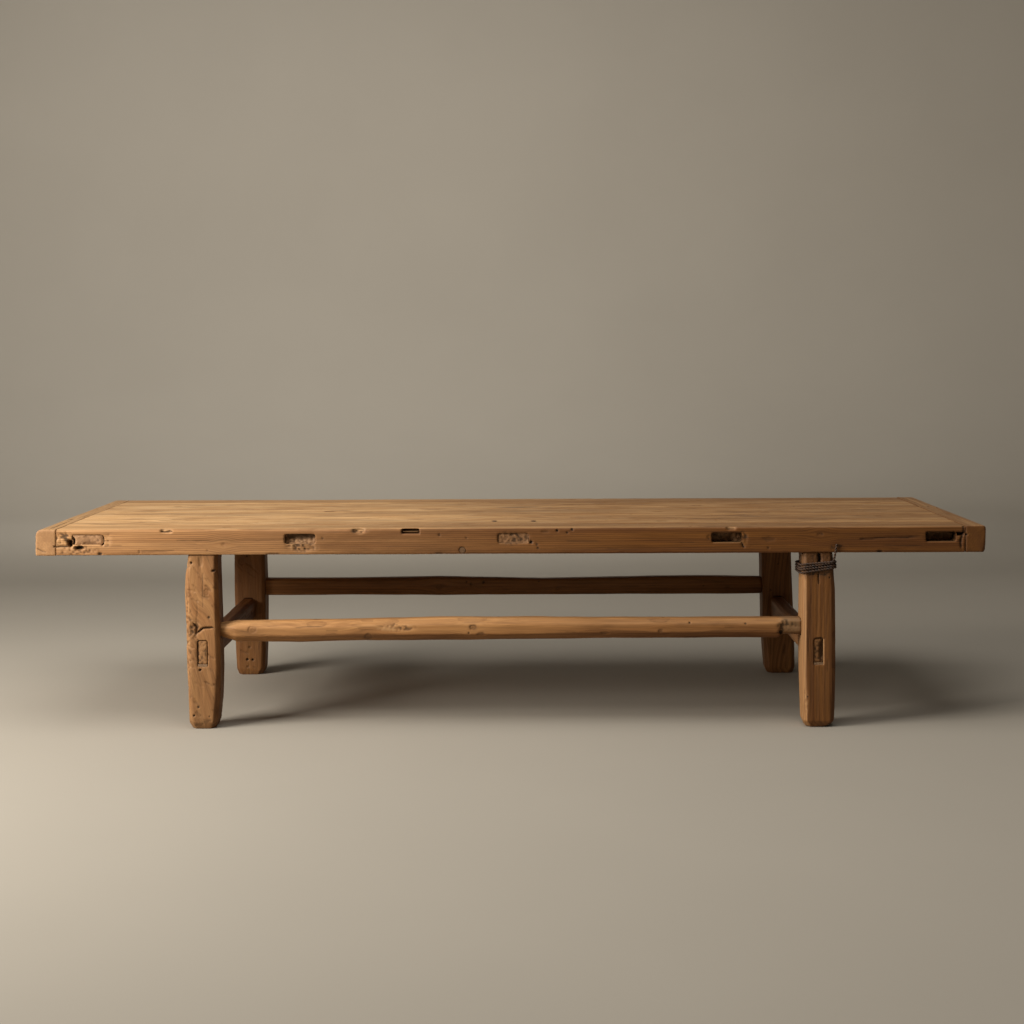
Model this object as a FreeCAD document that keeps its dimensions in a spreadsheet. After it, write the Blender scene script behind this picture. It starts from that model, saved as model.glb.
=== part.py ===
import FreeCAD, Part
import math
import os
import re
import Sketcher
from FreeCAD import Rotation, Vector

# Low table of reclaimed elm: two long rails and two end boards frame three panel boards, and five
# cross battens are tenoned through the rails under the panel. Four hewn legs stand in mortises under
# the rails and are tied by four stretchers with wedged through tenons.
# Frame: X runs along the table, Y from front to back, Z up. The origin lies on the floor under the middle.

driving_sizes = {
    # Top
    "top_length": 2000,
    "top_width": 640,
    "top_thick": 56,
    "table_height": 425,
    "rail_width": 76,
    "end_board_width": 44,
    "arris_radius": 5,
    "lower_arris_radius": 2.5,
    "left_end_round": 14,
    "right_end_round": 5,
    "panel_thick": 24,
    "tongue_thick": 8,
    "tongue_length": 9,
    "seam_gap": 0.3,
    "joint_fit": 0.2,
    # Corner joints of the top, each pinned from below
    "rail_tenon_width": 40,
    "rail_tenon_thick": 16,
    "rail_tenon_length": 28,
    "rail_tenon_rise": 20,
    "end_peg_diameter": 10,
    "end_peg_length": 44,
    # Cross battens
    "batten_width": 62,
    "batten_thick": 20,
    "batten_cover": 12.5,
    "batten_setback": 102,
    "batten_shift": 8,
    "batten_play": 1,
    "batten_back_recess": 3,
    "batten_1_recess": 1,
    "batten_2_recess": 7,
    "batten_3_recess": 0.5,
    "batten_4_recess": 24,
    "batten_5_recess": 34,
    # Worn details of the front rail and the panel
    "notch_setback": 792,
    "notch_length": 38,
    "notch_height": 8,
    "notch_depth": 9,
    "plug_setback": 901,
    "plug_rise": 9,
    "plug_diameter": 12,
    "plug_length": 30,
    "nail_spacing": 85,
    "nail_shift": 9,
    "nail_setback": 128,
    "nail_shank": 4,
    "nail_head": 9,
    "nail_head_height": 1.6,
    "nail_length": 20,
    # Legs
    "front_leg_width": 66,
    "back_leg_width": 70,
    "leg_depth": 64,
    "leg_setback": 351,
    "leg_inset": 4,
    "leg_corner_width": 8,
    "foot_height": 14,
    "leg_tenon_width": 36,
    "leg_tenon_depth": 36,
    "leg_tenon_tall": 36,
    # Stretchers
    "side_stretcher_width": 34,
    "side_stretcher_tall": 50,
    "side_stretcher_height": 163,
    "side_tenon_width": 19.5,
    "side_tenon_recess": 1.5,
    "front_stretcher_depth": 44,
    "front_stretcher_tall": 46,
    "front_mortise_gap": 3.6,
    "back_stretcher_depth": 30,
    "back_stretcher_tall": 42,
    "back_mortise_gap": 9.6,
    "long_tenon_depth": 22,
    "long_tenon_tall": 22,
    "long_tenon_recess": 1,
    "wedge_thick": 5,
    "wedge_length": 42,
    # Wire lashed round the split top of the front right leg
    "wire_diameter": 4.4,
    "wire_pitch": 5.4,
    "wire_drop": 40,
    "wire_tilt_height": 2,
    "wire_slack": 2,
    "wire_clearance": 0.35,
    "wire_bend": 12,
    "wire_tail_rise": 38,
    "wire_tail_bend": 7,
    "wire_tail_lean": 6,
    "cut_overrun": 2,
}
wire_turns = 3
corners_per_turn = 4
batten_count = 5

# Hewn outlines: one row for each section, as shares of the piece's own sizes.
# Legs, from the floor up: width, depth, corner, shift along X, shift along Y.
side_stretcher_top = "side_stretcher_height + side_stretcher_tall / 2"
long_tenon_seat = "2 * joint_fit + wedge_thick + long_tenon_tall / 2"
stretcher_levels = {
    kind: f"({side_stretcher_top} + {kind}_mortise_gap + {long_tenon_seat})" for kind in ("front", "back")
}
leg_heights = [
    "0",
    "foot_height",
    "side_stretcher_height - side_stretcher_tall",
    f"{stretcher_levels['front']} + front_stretcher_tall",
    "table_height - top_thick",
]
leg_shares = {
    "leg_front_left": [
        (0.78, 0.80, 1.3, 0.01, 0.02),
        (0.95, 0.96, 1.2, 0.00, 0.01),
        (1.00, 1.00, 1.0, 0.00, 0.00),
        (1.00, 1.00, 1.0, 0.00, 0.00),
        (0.95, 0.97, 0.9, 0.01, 0.00),
    ],
    "leg_front_right": [
        (0.80, 0.78, 1.3, 0.02, 0.03),
        (0.97, 0.96, 1.1, 0.01, 0.01),
        (1.00, 1.00, 1.0, 0.00, 0.00),
        (1.00, 1.00, 1.0, 0.00, 0.00),
        (0.98, 0.97, 0.9, 0.00, 0.00),
    ],
    "leg_back_left": [
        (0.80, 0.84, 1.3, 0.02, 0.00),
        (0.95, 0.97, 1.1, 0.02, 0.00),
        (1.00, 1.00, 1.0, 0.00, 0.00),
        (1.00, 1.00, 1.0, 0.00, 0.00),
        (1.01, 0.98, 0.9, -0.02, 0.00),
    ],
    "leg_back_right": [
        (0.82, 0.84, 1.3, 0.09, 0.00),
        (0.96, 0.97, 1.1, 0.07, 0.00),
        (1.00, 1.00, 1.0, 0.00, 0.00),
        (1.00, 1.00, 1.0, 0.00, 0.00),
        (1.00, 0.98, 0.9, -0.03, 0.00),
    ],
}
# Long stretchers, from left to right: place, depth, height, corner, shift up.
front_stretcher_shares = [
    (0.000, 0.64, 0.62, 0.29, -0.02),
    (0.028, 0.95, 0.95, 0.29, -0.10),
    (0.140, 1.00, 1.00, 0.29, -0.09),
    (0.250, 0.98, 0.98, 0.30, -0.04),
    (0.380, 1.02, 1.03, 0.29, 0.00),
    (0.500, 1.00, 1.00, 0.28, 0.00),
    (0.640, 0.97, 0.95, 0.30, 0.00),
    (0.800, 0.95, 0.93, 0.29, 0.00),
    (0.960, 0.95, 0.93, 0.29, -0.01),
    (0.968, 0.78, 0.74, 0.16, 0.08),
    (1.000, 0.80, 0.76, 0.16, 0.07),
]
back_stretcher_shares = [
    (0.00, 1.00, 1.00, 0.14, 0.00),
    (0.18, 0.97, 0.98, 0.16, 0.00),
    (0.35, 1.02, 1.06, 0.14, 0.02),
    (0.56, 0.97, 0.92, 0.15, -0.04),
    (0.85, 1.02, 1.06, 0.14, 0.02),
    (1.00, 1.00, 1.00, 0.14, 0.00),
]
# Side stretchers, from front to back: place, width, height, corner, shift up.
side_stretcher_shares = [
    (0.00, 1.00, 1.00, 0.16, 0.00),
    (0.30, 0.96, 1.02, 0.18, -0.01),
    (0.65, 1.03, 0.97, 0.16, 0.01),
    (1.00, 1.00, 1.00, 0.16, 0.00),
]
wedge_tip_share = 0.85
nail_tip_share = 0.4
match_share = 0.0001

doc = FreeCAD.newDocument("coffee_table")
sheet = doc.addObject("Spreadsheet::Sheet", "Sizes")
for row, (alias, value) in enumerate(driving_sizes.items(), start=1):
    sheet.set(f"A{row}", alias)
    sheet.set(f"B{row}", str(value))
    sheet.setAlias(f"B{row}", alias)
doc.recompute()
pieces = []


def bound(text):
    """Write an expression of size names as one that reads the sheet."""
    return re.sub(r"[a-z]\w*", lambda word: "Sizes." + word.group(0), text)


def size(name):
    return float(sheet.get(name))


def place(item, x="0", y="0", z="0"):
    for axis, text in zip("xyz", (x, y, z)):
        item.setExpression(f"Placement.Base.{axis}", bound(text))


def new_body(label):
    body = doc.addObject("PartDesign::Body", label)
    body.Label = label
    pieces.append(body)
    return body


def new_sketch(body, role, x="0", y="0", z="0"):
    sketch = body.newObject("Sketcher::SketchObject", "Sketch")
    plane = next(item for item in body.Origin.OriginFeatures if item.Role == role)
    sketch.AttachmentSupport = [(plane, "")]
    sketch.MapMode = "FlatFace"
    for axis, text in zip("xyz", (x, y, z)):
        sketch.setExpression(f"AttachmentOffset.Base.{axis}", bound(text))
    return sketch


def fix_point(sketch, line, end, x, y):
    for kind, text in (("DistanceX", x), ("DistanceY", y)):
        index = sketch.addConstraint(Sketcher.Constraint(kind, -1, 1, line, end, 1.0))
        sketch.setExpression(f"Constraints[{index}]", bound(text))


def draw_polygon(sketch, corners):
    first = sketch.GeometryCount
    count = len(corners)
    angles = [2 * math.pi * i / count for i in range(count)]
    ring = [Vector(math.cos(angle), math.sin(angle)) for angle in angles]
    for i in range(count):
        sketch.addGeometry(Part.LineSegment(ring[i], ring[(i + 1) % count]))
    for i in range(count):
        sketch.addConstraint(Sketcher.Constraint("Coincident", first + i, 2, first + (i + 1) % count, 1))
    for i, (x, y) in enumerate(corners):
        fix_point(sketch, first + i, 1, x, y)


def draw_rectangle(sketch, x, y, width, depth):
    left, right = f"{x} - ({width}) / 2", f"{x} + ({width}) / 2"
    near, far = f"{y} - ({depth}) / 2", f"{y} + ({depth}) / 2"
    draw_polygon(sketch, [(left, near), (right, near), (right, far), (left, far)])


def draw_hewn(sketch, width, depth, corner):
    """An upright rectangle about the sketch's origin with its four corners hewn off."""
    out, back = f"({width}) / 2", f"({depth}) / 2"
    out_cut, back_cut = f"(({width}) / 2 - {corner})", f"(({depth}) / 2 - {corner})"
    draw_polygon(sketch, [
        (f"-{out_cut}", f"-{back}"), (out_cut, f"-{back}"), (out, f"-{back_cut}"), (out, back_cut),
        (out_cut, back), (f"-{out_cut}", back), (f"-{out}", back_cut), (f"-{out}", f"-{back_cut}"),
    ])


def draw_circle(sketch, x, y, radius):
    index = sketch.addGeometry(Part.Circle(Vector(), Vector(0, 0, 1), 1.0))
    fix_point(sketch, index, 3, x, y)
    limit = sketch.addConstraint(Sketcher.Constraint("Radius", index, 1.0))
    sketch.setExpression(f"Constraints[{limit}]", bound(radius))


def raise_sketch(body, sketch, height):
    pad = body.newObject("PartDesign::Pad", "Pad")
    pad.Profile = sketch
    pad.setExpression("Length", bound(height))


def sink_sketch(body, sketch, height):
    """Cut from the sketch along its normal, and make sure that something was cut."""
    doc.recompute()
    before = body.Shape.Volume
    pocket = body.newObject("PartDesign::Pocket", "Pocket")
    pocket.Profile = sketch
    pocket.Reversed = True
    pocket.setExpression("Length", bound(height))
    doc.recompute()
    if not body.Shape.Volume < before:
        raise RuntimeError(f"a cut in {body.Label} removes nothing")


def add_block(body, places, width, depth, low, height):
    sketch = new_sketch(body, "XY_Plane", z=low)
    for x, y in places:
        draw_rectangle(sketch, x, y, width, depth)
    raise_sketch(body, sketch, height)


def cut_block(body, places, width, depth, low, height):
    sketch = new_sketch(body, "XY_Plane", z=low)
    for x, y in places:
        draw_rectangle(sketch, x, y, width, depth)
    sink_sketch(body, sketch, height)


def cut_round(body, places, radius, low, height, role="XY_Plane"):
    sketch = new_sketch(body, role, z=low)
    for x, y in places:
        draw_circle(sketch, x, y, radius)
    sink_sketch(body, sketch, height)


def round_edges(body, chosen, radius):
    """Round the straight edges along one axis whose middle satisfies the test."""
    doc.recompute()
    names = []
    for index, edge in enumerate(body.Shape.Edges, start=1):
        if chosen(body.Placement.inverse().multVec(edge.CenterOfMass), edge):
            names.append(f"Edge{index}")
    base = body.Tip
    fillet = body.newObject("PartDesign::Fillet", "Fillet")
    fillet.Base = (base, names)
    fillet.setExpression("Radius", bound(radius))
    doc.recompute()


def near(a, b):
    return abs(a - b) < match_share * size("top_thick")


def loft(body, sections):
    feature = body.newObject("PartDesign::AdditiveLoft", "Loft")
    feature.Profile = sections[0]
    feature.Sections = sections[1:]
    feature.Ruled = True


def group(label, members):
    compound = doc.addObject("Part::Compound", label)
    compound.Label = label
    compound.Links = members
    pieces.append(compound)


underside = "(table_height - top_thick)"
frame_length = "(top_length - 2 * end_board_width)"
rail_line = "(top_width / 2 - rail_width / 2)"
leg_line = "(top_width / 2 - leg_inset - leg_depth / 2)"
leg_reach = "(top_length / 2 - leg_setback)"
panel_width = "(top_width - 2 * rail_width)"
groove_rise = "(top_thick - panel_thick / 2 - tongue_thick / 2 - joint_fit)"
groove_height = "(tongue_thick + 2 * joint_fit)"
batten_rise = "(top_thick - batten_cover - batten_thick)"
batten_slot = "(batten_width + 2 * batten_play)"
peg_setback = "(rail_tenon_length / 2)"
batten_shares = [2 * i / (batten_count - 1) - 1 for i in range(batten_count)]
batten_places = [f"(batten_shift + (top_length / 2 - batten_setback) * {share})" for share in batten_shares]


def make_rail(label, turn):
    """A long rail about its own middle line, with its show face towards -Y.

    turn is -1 for a rail that is then turned round to face the back.
    """
    body = new_body(label)
    add_block(body, [("0", "0")], frame_length, "rail_width", "0", "top_thick")
    add_block(body, [("0", "0")], f"{frame_length} + 2 * rail_tenon_length", "rail_tenon_width",
              "rail_tenon_rise", "rail_tenon_thick")
    for level, radius in ((size("top_thick"), "arris_radius"), (0, "lower_arris_radius")):
        round_edges(body, lambda middle, edge: near(middle.y, -size("rail_width") / 2)
                    and near(middle.z, level), radius)
    groove_depth = "(tongue_length + joint_fit)"
    cut_block(body, [("0", f"rail_width / 2 + cut_overrun / 2 - {groove_depth} / 2")],
              frame_length, f"{groove_depth} + cut_overrun", groove_rise, groove_height)
    cut_block(body, [(f"{turn} * {x}", "0") for x in batten_places], batten_slot,
              "rail_width + 2 * cut_overrun", f"{batten_rise} - joint_fit", "batten_thick + 2 * joint_fit")
    leg_shift = f"({rail_line} - {leg_line})"
    cut_block(body, [(f"{side} * {leg_reach}", leg_shift) for side in (-1, 1)],
              "leg_tenon_width + 2 * joint_fit", "leg_tenon_depth + 2 * joint_fit",
              "-cut_overrun", "cut_overrun + leg_tenon_tall + joint_fit")
    cut_round(body, [(f"{side} * ({frame_length} / 2 + {peg_setback})", "0") for side in (-1, 1)],
              "end_peg_diameter / 2 + joint_fit", "rail_tenon_rise - cut_overrun",
              "rail_tenon_thick + 2 * cut_overrun")
    return body


def make_front_rail():
    rail = make_rail("front_rail", 1)
    place(rail, y=f"-{rail_line}", z=underside)
    face = "(rail_width / 2)"
    notch_middle = f"-{face} + notch_depth / 2 - cut_overrun / 2"
    cut_block(rail, [("notch_setback - top_length / 2", notch_middle)], "notch_length",
              "notch_depth + cut_overrun", "top_thick - notch_height", "notch_height - arris_radius / 2")
    cut_round(rail, [("plug_setback - top_length / 2", "plug_rise")], "plug_diameter / 2 + joint_fit",
              f"{face} - plug_length - joint_fit", "plug_length + joint_fit + cut_overrun", role="XZ_Plane")


def make_back_rail():
    rail = make_rail("back_rail", -1)
    rail.Placement.Rotation = Rotation(Vector(0, 0, 1), 180)
    place(rail, y=rail_line, z=underside)


def make_end_board(label, side, end_round):
    """An end board about its own middle, with its outer face towards -X, turned round for the right end."""
    body = new_body(label)
    add_block(body, [("0", "0")], "end_board_width", "top_width", "0", "top_thick")
    round_edges(body, lambda middle, edge: near(middle.x, -size("end_board_width") / 2)
                and near(middle.z, size("top_thick")), end_round)
    inner = "(end_board_width / 2)"
    groove_depth = "(tongue_length + joint_fit)"
    cut_block(body, [(f"{inner} + cut_overrun / 2 - {groove_depth} / 2", "0")],
              f"{groove_depth} + cut_overrun", f"{panel_width} + 2 * tongue_length",
              groove_rise, groove_height)
    mortise_depth = "(rail_tenon_length + joint_fit)"
    ends = [f"{end} * {rail_line}" for end in (-1, 1)]
    cut_block(body, [(f"{inner} + cut_overrun / 2 - {mortise_depth} / 2", y) for y in ends],
              f"{mortise_depth} + cut_overrun", "rail_tenon_width + 2 * joint_fit",
              "rail_tenon_rise - joint_fit", "rail_tenon_thick + 2 * joint_fit")
    cut_round(body, [(f"{inner} - {peg_setback}", y) for y in ends], "end_peg_diameter / 2 + joint_fit",
              "-cut_overrun", "cut_overrun + end_peg_length + joint_fit")
    if side > 0:
        body.Placement.Rotation = Rotation(Vector(0, 0, 1), 180)
    place(body, x=f"{side} * (top_length / 2 - end_board_width / 2)", z=underside)


def make_end_board_pegs():
    pegs = []
    for side in (-1, 1):
        for end in (-1, 1):
            peg = doc.addObject("Part::Cylinder", "EndBoardPeg")
            peg.setExpression("Radius", bound("end_peg_diameter / 2"))
            peg.setExpression("Height", bound("end_peg_length"))
            place(peg, f"{side} * ({frame_length} / 2 + {peg_setback})", f"{end} * {rail_line}", underside)
            pegs.append(peg)
    group("end_board_pegs", pegs)


board_width = f"({panel_width} / 3 - seam_gap)"
panel_length = f"({frame_length} - 2 * seam_gap)"


def make_panel_board(label, step):
    """A panel board about its own middle: step -1 lies against the front rail, 1 against the back rail."""
    body = new_body(label)
    add_block(body, [("0", "0")], panel_length, board_width, "0", "panel_thick")
    tongue_rise = "(panel_thick / 2 - tongue_thick / 2)"
    add_block(body, [("0", "0")], f"{panel_length} + 2 * tongue_length",
              f"{board_width} - 2 * tongue_length", tongue_rise, "tongue_thick")
    tongue_sides = (-1, 1) if step == 0 else (step,)
    add_block(body, [("0", f"{edge} * {board_width} / 2") for edge in tongue_sides],
              panel_length, "2 * tongue_length", tongue_rise, "tongue_thick")
    if step:
        groove_depth = "(tongue_length + joint_fit)"
        cut_block(body, [("0", f"{-step} * ({board_width} / 2 + cut_overrun / 2 - {groove_depth} / 2)")],
                  f"{panel_length} + 2 * tongue_length + 2 * cut_overrun", f"{groove_depth} + cut_overrun",
                  f"{tongue_rise} - joint_fit", groove_height)
    cut_block(body, [(x, "0") for x in batten_places], batten_slot,
              f"{board_width} + 2 * tongue_length + 2 * cut_overrun",
              "-cut_overrun", "cut_overrun + panel_thick - batten_cover + joint_fit")
    if step < 0:
        nail_line = f"({board_width} / 2 + rail_width + seam_gap / 2 - nail_setback)"
        holes = [(f"nail_shift + {side} * nail_spacing / 2", f"-{nail_line}") for side in (-1, 1)]
        cut_round(body, holes, "nail_shank / 2 + joint_fit", "panel_thick - nail_length - joint_fit",
                  "nail_length + joint_fit + cut_overrun")
        cut_round(body, holes, "nail_head / 2 + joint_fit", "panel_thick - nail_head_height",
                  "nail_head_height + cut_overrun")
    place(body, y=f"{step} * {panel_width} / 3", z="table_height - panel_thick")


def make_old_nails():
    nails = []
    for side in (-1, 1):
        head = doc.addObject("Part::Cylinder", "NailHead")
        head.setExpression("Radius", bound("nail_head / 2"))
        head.setExpression("Height", bound("nail_head_height"))
        shank = doc.addObject("Part::Cone", "NailShank")
        shank.setExpression("Radius1", bound(f"nail_shank / 2 * {nail_tip_share}"))
        shank.setExpression("Radius2", bound("nail_shank / 2"))
        shank.setExpression("Height", bound("nail_length - nail_head_height"))
        spot = {"x": f"nail_shift + {side} * nail_spacing / 2", "y": "nail_setback - top_width / 2"}
        place(head, z="table_height - nail_head_height", **spot)
        place(shank, z="table_height - nail_length", **spot)
        nail = doc.addObject("Part::Fuse", "Nail")
        nail.Base = head
        nail.Tool = shank
        nails.append(nail)
    group("old_nails", nails)


def make_rail_plug():
    plug = doc.addObject("Part::Cylinder", "rail_plug")
    plug.Label = "rail_plug"
    plug.setExpression("Radius", bound("plug_diameter / 2"))
    plug.setExpression("Height", bound("plug_length"))
    plug.Placement.Rotation = Rotation(Vector(1, 0, 0), -90)
    place(plug, x="plug_setback - top_length / 2", y="-top_width / 2", z=f"{underside} + plug_rise")
    pieces.append(plug)


def make_cross_batten(number, x):
    batten = doc.addObject("Part::Box", f"cross_batten_{number}")
    batten.Label = f"cross_batten_{number}"
    recess = f"batten_{number}_recess"
    batten.setExpression("Length", bound("batten_width"))
    batten.setExpression("Width", bound(f"top_width - {recess} - batten_back_recess"))
    batten.setExpression("Height", bound("batten_thick"))
    place(batten, x=f"{x} - batten_width / 2", y=f"{recess} - top_width / 2",
          z="table_height - batten_cover - batten_thick")
    pieces.append(batten)


def make_leg(label, side, end):
    """A hewn leg about its own upright line: side is -1 left or 1 right, end is -1 front or 1 back."""
    width = "front_leg_width" if end < 0 else "back_leg_width"
    level = stretcher_levels["front" if end < 0 else "back"]
    body = new_body(label)
    sections = []
    for height, section_shares in zip(leg_heights, leg_shares[label]):
        width_share, depth_share, corner_share, x_share, y_share = section_shares
        sketch = new_sketch(body, "XY_Plane", f"{width} * {x_share}", f"leg_depth * {y_share}", height)
        draw_hewn(sketch, f"{width} * {width_share}", f"leg_depth * {depth_share}",
                  f"leg_corner_width * {corner_share}")
        sections.append(sketch)
    loft(body, sections)
    add_block(body, [("0", "0")], "leg_tenon_width", "leg_tenon_depth", underside, "leg_tenon_tall")
    cut_block(body, [("0", "0")], "side_tenon_width + 2 * joint_fit", "leg_depth + 2 * cut_overrun",
              "side_stretcher_height - side_stretcher_tall / 2 - wedge_thick - joint_fit",
              "side_stretcher_tall + wedge_thick + 2 * joint_fit")
    cut_block(body, [("0", "0")], f"{width} + 2 * cut_overrun", "long_tenon_depth + 2 * joint_fit",
              f"{level} - long_tenon_tall / 2 - wedge_thick - joint_fit",
              "long_tenon_tall + wedge_thick + 2 * joint_fit")
    place(body, x=f"{side} * {leg_reach}", y=f"{end} * {leg_line}")


def make_long_stretcher(label, kind, end, leg_width, shares):
    """A stretcher along X about its own middle, with a through tenon at each end."""
    body = new_body(label)
    deep, tall = f"{kind}_stretcher_depth", f"{kind}_stretcher_tall"
    span = f"(2 * {leg_reach} - {leg_width})"
    sections = []
    for place_share, depth_share, tall_share, corner_share, rise_share in shares:
        along = f"{span} * {place_share} - {span} / 2"
        sketch = new_sketch(body, "YZ_Plane", y=f"{tall} * {rise_share}", z=along)
        draw_hewn(sketch, f"{deep} * {depth_share}", f"{tall} * {tall_share}",
                  f"{deep} * {depth_share} * {corner_share}")
        sections.append(sketch)
    loft(body, sections)
    tenon_span = f"2 * {leg_reach} + {leg_width} - 2 * long_tenon_recess"
    add_block(body, [("0", "0")], tenon_span, "long_tenon_depth", "-long_tenon_tall / 2", "long_tenon_tall")
    place(body, y=f"{end} * {leg_line}", z=stretcher_levels[kind])


def make_side_stretcher(label, side):
    """A stretcher along Y about its own middle, with a through tenon at each end."""
    body = new_body(label)
    wide, tall = "side_stretcher_width", "side_stretcher_tall"
    span = f"(2 * {leg_line} - leg_depth)"
    sections = []
    for place_share, width_share, tall_share, corner_share, rise_share in side_stretcher_shares:
        along = f"{span} / 2 - {span} * {place_share}"
        sketch = new_sketch(body, "XZ_Plane", y=f"{tall} * {rise_share}", z=along)
        draw_hewn(sketch, f"{wide} * {width_share}", f"{tall} * {tall_share}", f"{wide} * {corner_share}")
        sections.append(sketch)
    loft(body, sections)
    add_block(body, [("0", "0")], "side_tenon_width", f"2 * {leg_line} + leg_depth - 2 * side_tenon_recess",
              f"-{tall} / 2", tall)
    place(body, x=f"{side} * {leg_reach}", z="side_stretcher_height")


def make_wedge(width, turn):
    """A wedge that runs inwards along +Y from its thick end at the origin, turned about Z."""
    wedge = doc.addObject("Part::Wedge", "Wedge")
    for limit, text in (
        ("Xmin", f"-{width} / 2"), ("Xmax", f"{width} / 2"), ("Ymin", "0"), ("Ymax", "wedge_length"),
        ("X2min", f"-{width} / 2"), ("X2max", f"{width} / 2"), ("Zmin", "0"), ("Zmax", "wedge_thick"),
        ("Z2min", "0"), ("Z2max", f"wedge_thick * {wedge_tip_share}"),
    ):
        wedge.setExpression(limit, bound(text))
    wedge.Placement.Rotation = Rotation(Vector(0, 0, 1), turn)
    return wedge


def make_tenon_wedges():
    side_wedges = []
    long_wedges = []
    for side in (-1, 1):
        for end, kind in ((-1, "front"), (1, "back")):
            wedge = make_wedge("side_tenon_width", 0 if end < 0 else 180)
            show_face = f"{end} * ({leg_line} + leg_depth / 2 - side_tenon_recess)"
            place(wedge, f"{side} * {leg_reach}", show_face,
                  "side_stretcher_height - side_stretcher_tall / 2 - wedge_thick - joint_fit")
            side_wedges.append(wedge)
            wedge = make_wedge("long_tenon_depth", -90 if side < 0 else 90)
            show_face = f"{side} * ({leg_reach} + {kind}_leg_width / 2 - long_tenon_recess)"
            place(wedge, show_face, f"{end} * {leg_line}",
                  f"{stretcher_levels[kind]} - long_tenon_tall / 2 - wedge_thick - joint_fit")
            long_wedges.append(wedge)
    group("side_tenon_wedges", side_wedges)
    group("long_tenon_wedges", long_wedges)


def wire_route():
    """The corners of the lashing about its leg, turn by turn, and its tail up past the rail."""
    reach = size("wire_diameter") / 2 + size("wire_clearance")
    out = size("front_leg_width") / 2 + reach + size("wire_slack")
    deep = size("leg_depth") / 2 + reach
    start_z = size("table_height") - size("top_thick") - size("wire_drop")
    turn = [(out, deep), (-out, deep), (-out, -deep), (out, -deep)]
    climb = size("wire_pitch") / corners_per_turn
    points = [Vector(0, deep, start_z)]
    for step in range(1, corners_per_turn * wire_turns + corners_per_turn - 1):
        x, y = turn[step % corners_per_turn]
        tilt = size("wire_tilt_height") * x / out
        points.append(Vector(x, y, start_z + climb * step + tilt))
    bend_z = points[-1].z + climb + 2 * size("wire_tilt_height")
    bend = Vector(out - size("wire_bend") / 2, -deep, bend_z)
    past_rail = -size("leg_depth") / 2 - size("leg_inset") - reach
    lean = size("wire_tail_lean")
    rise = size("wire_tail_rise")
    points.append(bend)
    points.append(Vector(bend.x + lean / 2, past_rail, bend.z + rise / 2))
    points.append(Vector(bend.x + lean, past_rail, bend.z + rise))
    return points


def rounded_path(points, radii):
    """Straight runs through the points, with a tangent arc at each corner."""
    edges = []
    start = points[0]
    for before, corner, after, radius in zip(points, points[1:], points[2:], radii):
        arrive = (corner - before).normalize()
        leave = (after - corner).normalize()
        turn = math.acos(max(-1, min(1, arrive.dot(leave))))
        setback = radius * math.tan(turn / 2)
        arc_start = corner - arrive * setback
        arc_end = corner + leave * setback
        inward = (leave - arrive).normalize()
        centre = corner + inward * (radius / math.cos(turn / 2))
        edges.append(Part.LineSegment(start, arc_start).toShape())
        edges.append(Part.Arc(arc_start, centre - inward * radius, arc_end).toShape())
        start = arc_end
    edges.append(Part.LineSegment(start, points[-1]).toShape())
    return Part.Wire(edges)


def least_gap(path, diameter):
    """The least clear gap between stretches of the tube that lie apart along it."""
    step = diameter / 2
    samples = path.discretize(Distance=step)
    skip = math.ceil(math.pi * size("wire_bend") / step)
    gap = path.Length
    for i, point in enumerate(samples):
        for other in samples[i + skip:]:
            gap = min(gap, point.distanceToPoint(other) - diameter)
    return gap


def make_wire_binding():
    points = wire_route()
    diameter = size("wire_diameter")
    radii = [size("wire_bend")] * (len(points) - 4) + [size("wire_tail_bend")] * 2
    path = rounded_path(points, radii)
    start = (points[1] - points[0]).normalize()
    ring = Part.Wire(Part.Circle(points[0], start, diameter / 2).toShape())
    wire = doc.addObject("Part::Feature", "wire_binding")
    wire.Label = "wire_binding"
    wire.Shape = path.makePipeShell([ring], True, False)
    place(wire, leg_reach, f"-{leg_line}")
    pieces.append(wire)
    expected = math.pi * diameter ** 2 / 4 * path.Length
    print(f"wire length {path.Length:.1f} mm, least gap {least_gap(path, diameter):.2f} mm, "
          f"volume against section times length {wire.Shape.Volume / expected:.4f}")


make_front_rail()
make_back_rail()
make_end_board("left_end_board", -1, "left_end_round")
make_end_board("right_end_board", 1, "right_end_round")
make_end_board_pegs()
for label, step in (("panel_board_front", -1), ("panel_board_middle", 0), ("panel_board_back", 1)):
    make_panel_board(label, step)
for number, x in enumerate(batten_places, start=1):
    make_cross_batten(number, x)
make_rail_plug()
make_old_nails()
for end, end_name in ((-1, "front"), (1, "back")):
    for side, side_name in ((-1, "left"), (1, "right")):
        make_leg(f"leg_{end_name}_{side_name}", side, end)
make_long_stretcher("front_stretcher", "front", -1, "front_leg_width", front_stretcher_shares)
make_long_stretcher("back_stretcher", "back", 1, "back_leg_width", back_stretcher_shares)
make_side_stretcher("left_stretcher", -1)
make_side_stretcher("right_stretcher", 1)
make_tenon_wedges()
make_wire_binding()
doc.recompute()

for item in doc.Objects:
    if "Invalid" in item.State or "Error" in item.State:
        raise RuntimeError(f"{item.Label} failed: {item.State}")
for piece in pieces:
    if piece.Shape.isNull() or not piece.Shape.isValid():
        raise RuntimeError(f"{piece.Label} has no valid shape")
os.makedirs("parts", exist_ok=True)
for piece in pieces:
    piece.Shape.exportStep(f"parts/{piece.Label}.step")
print(f"{len(pieces)} pieces written")
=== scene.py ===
import math
import bmesh
import bpy
import numpy as np
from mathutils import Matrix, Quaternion, Vector


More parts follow.
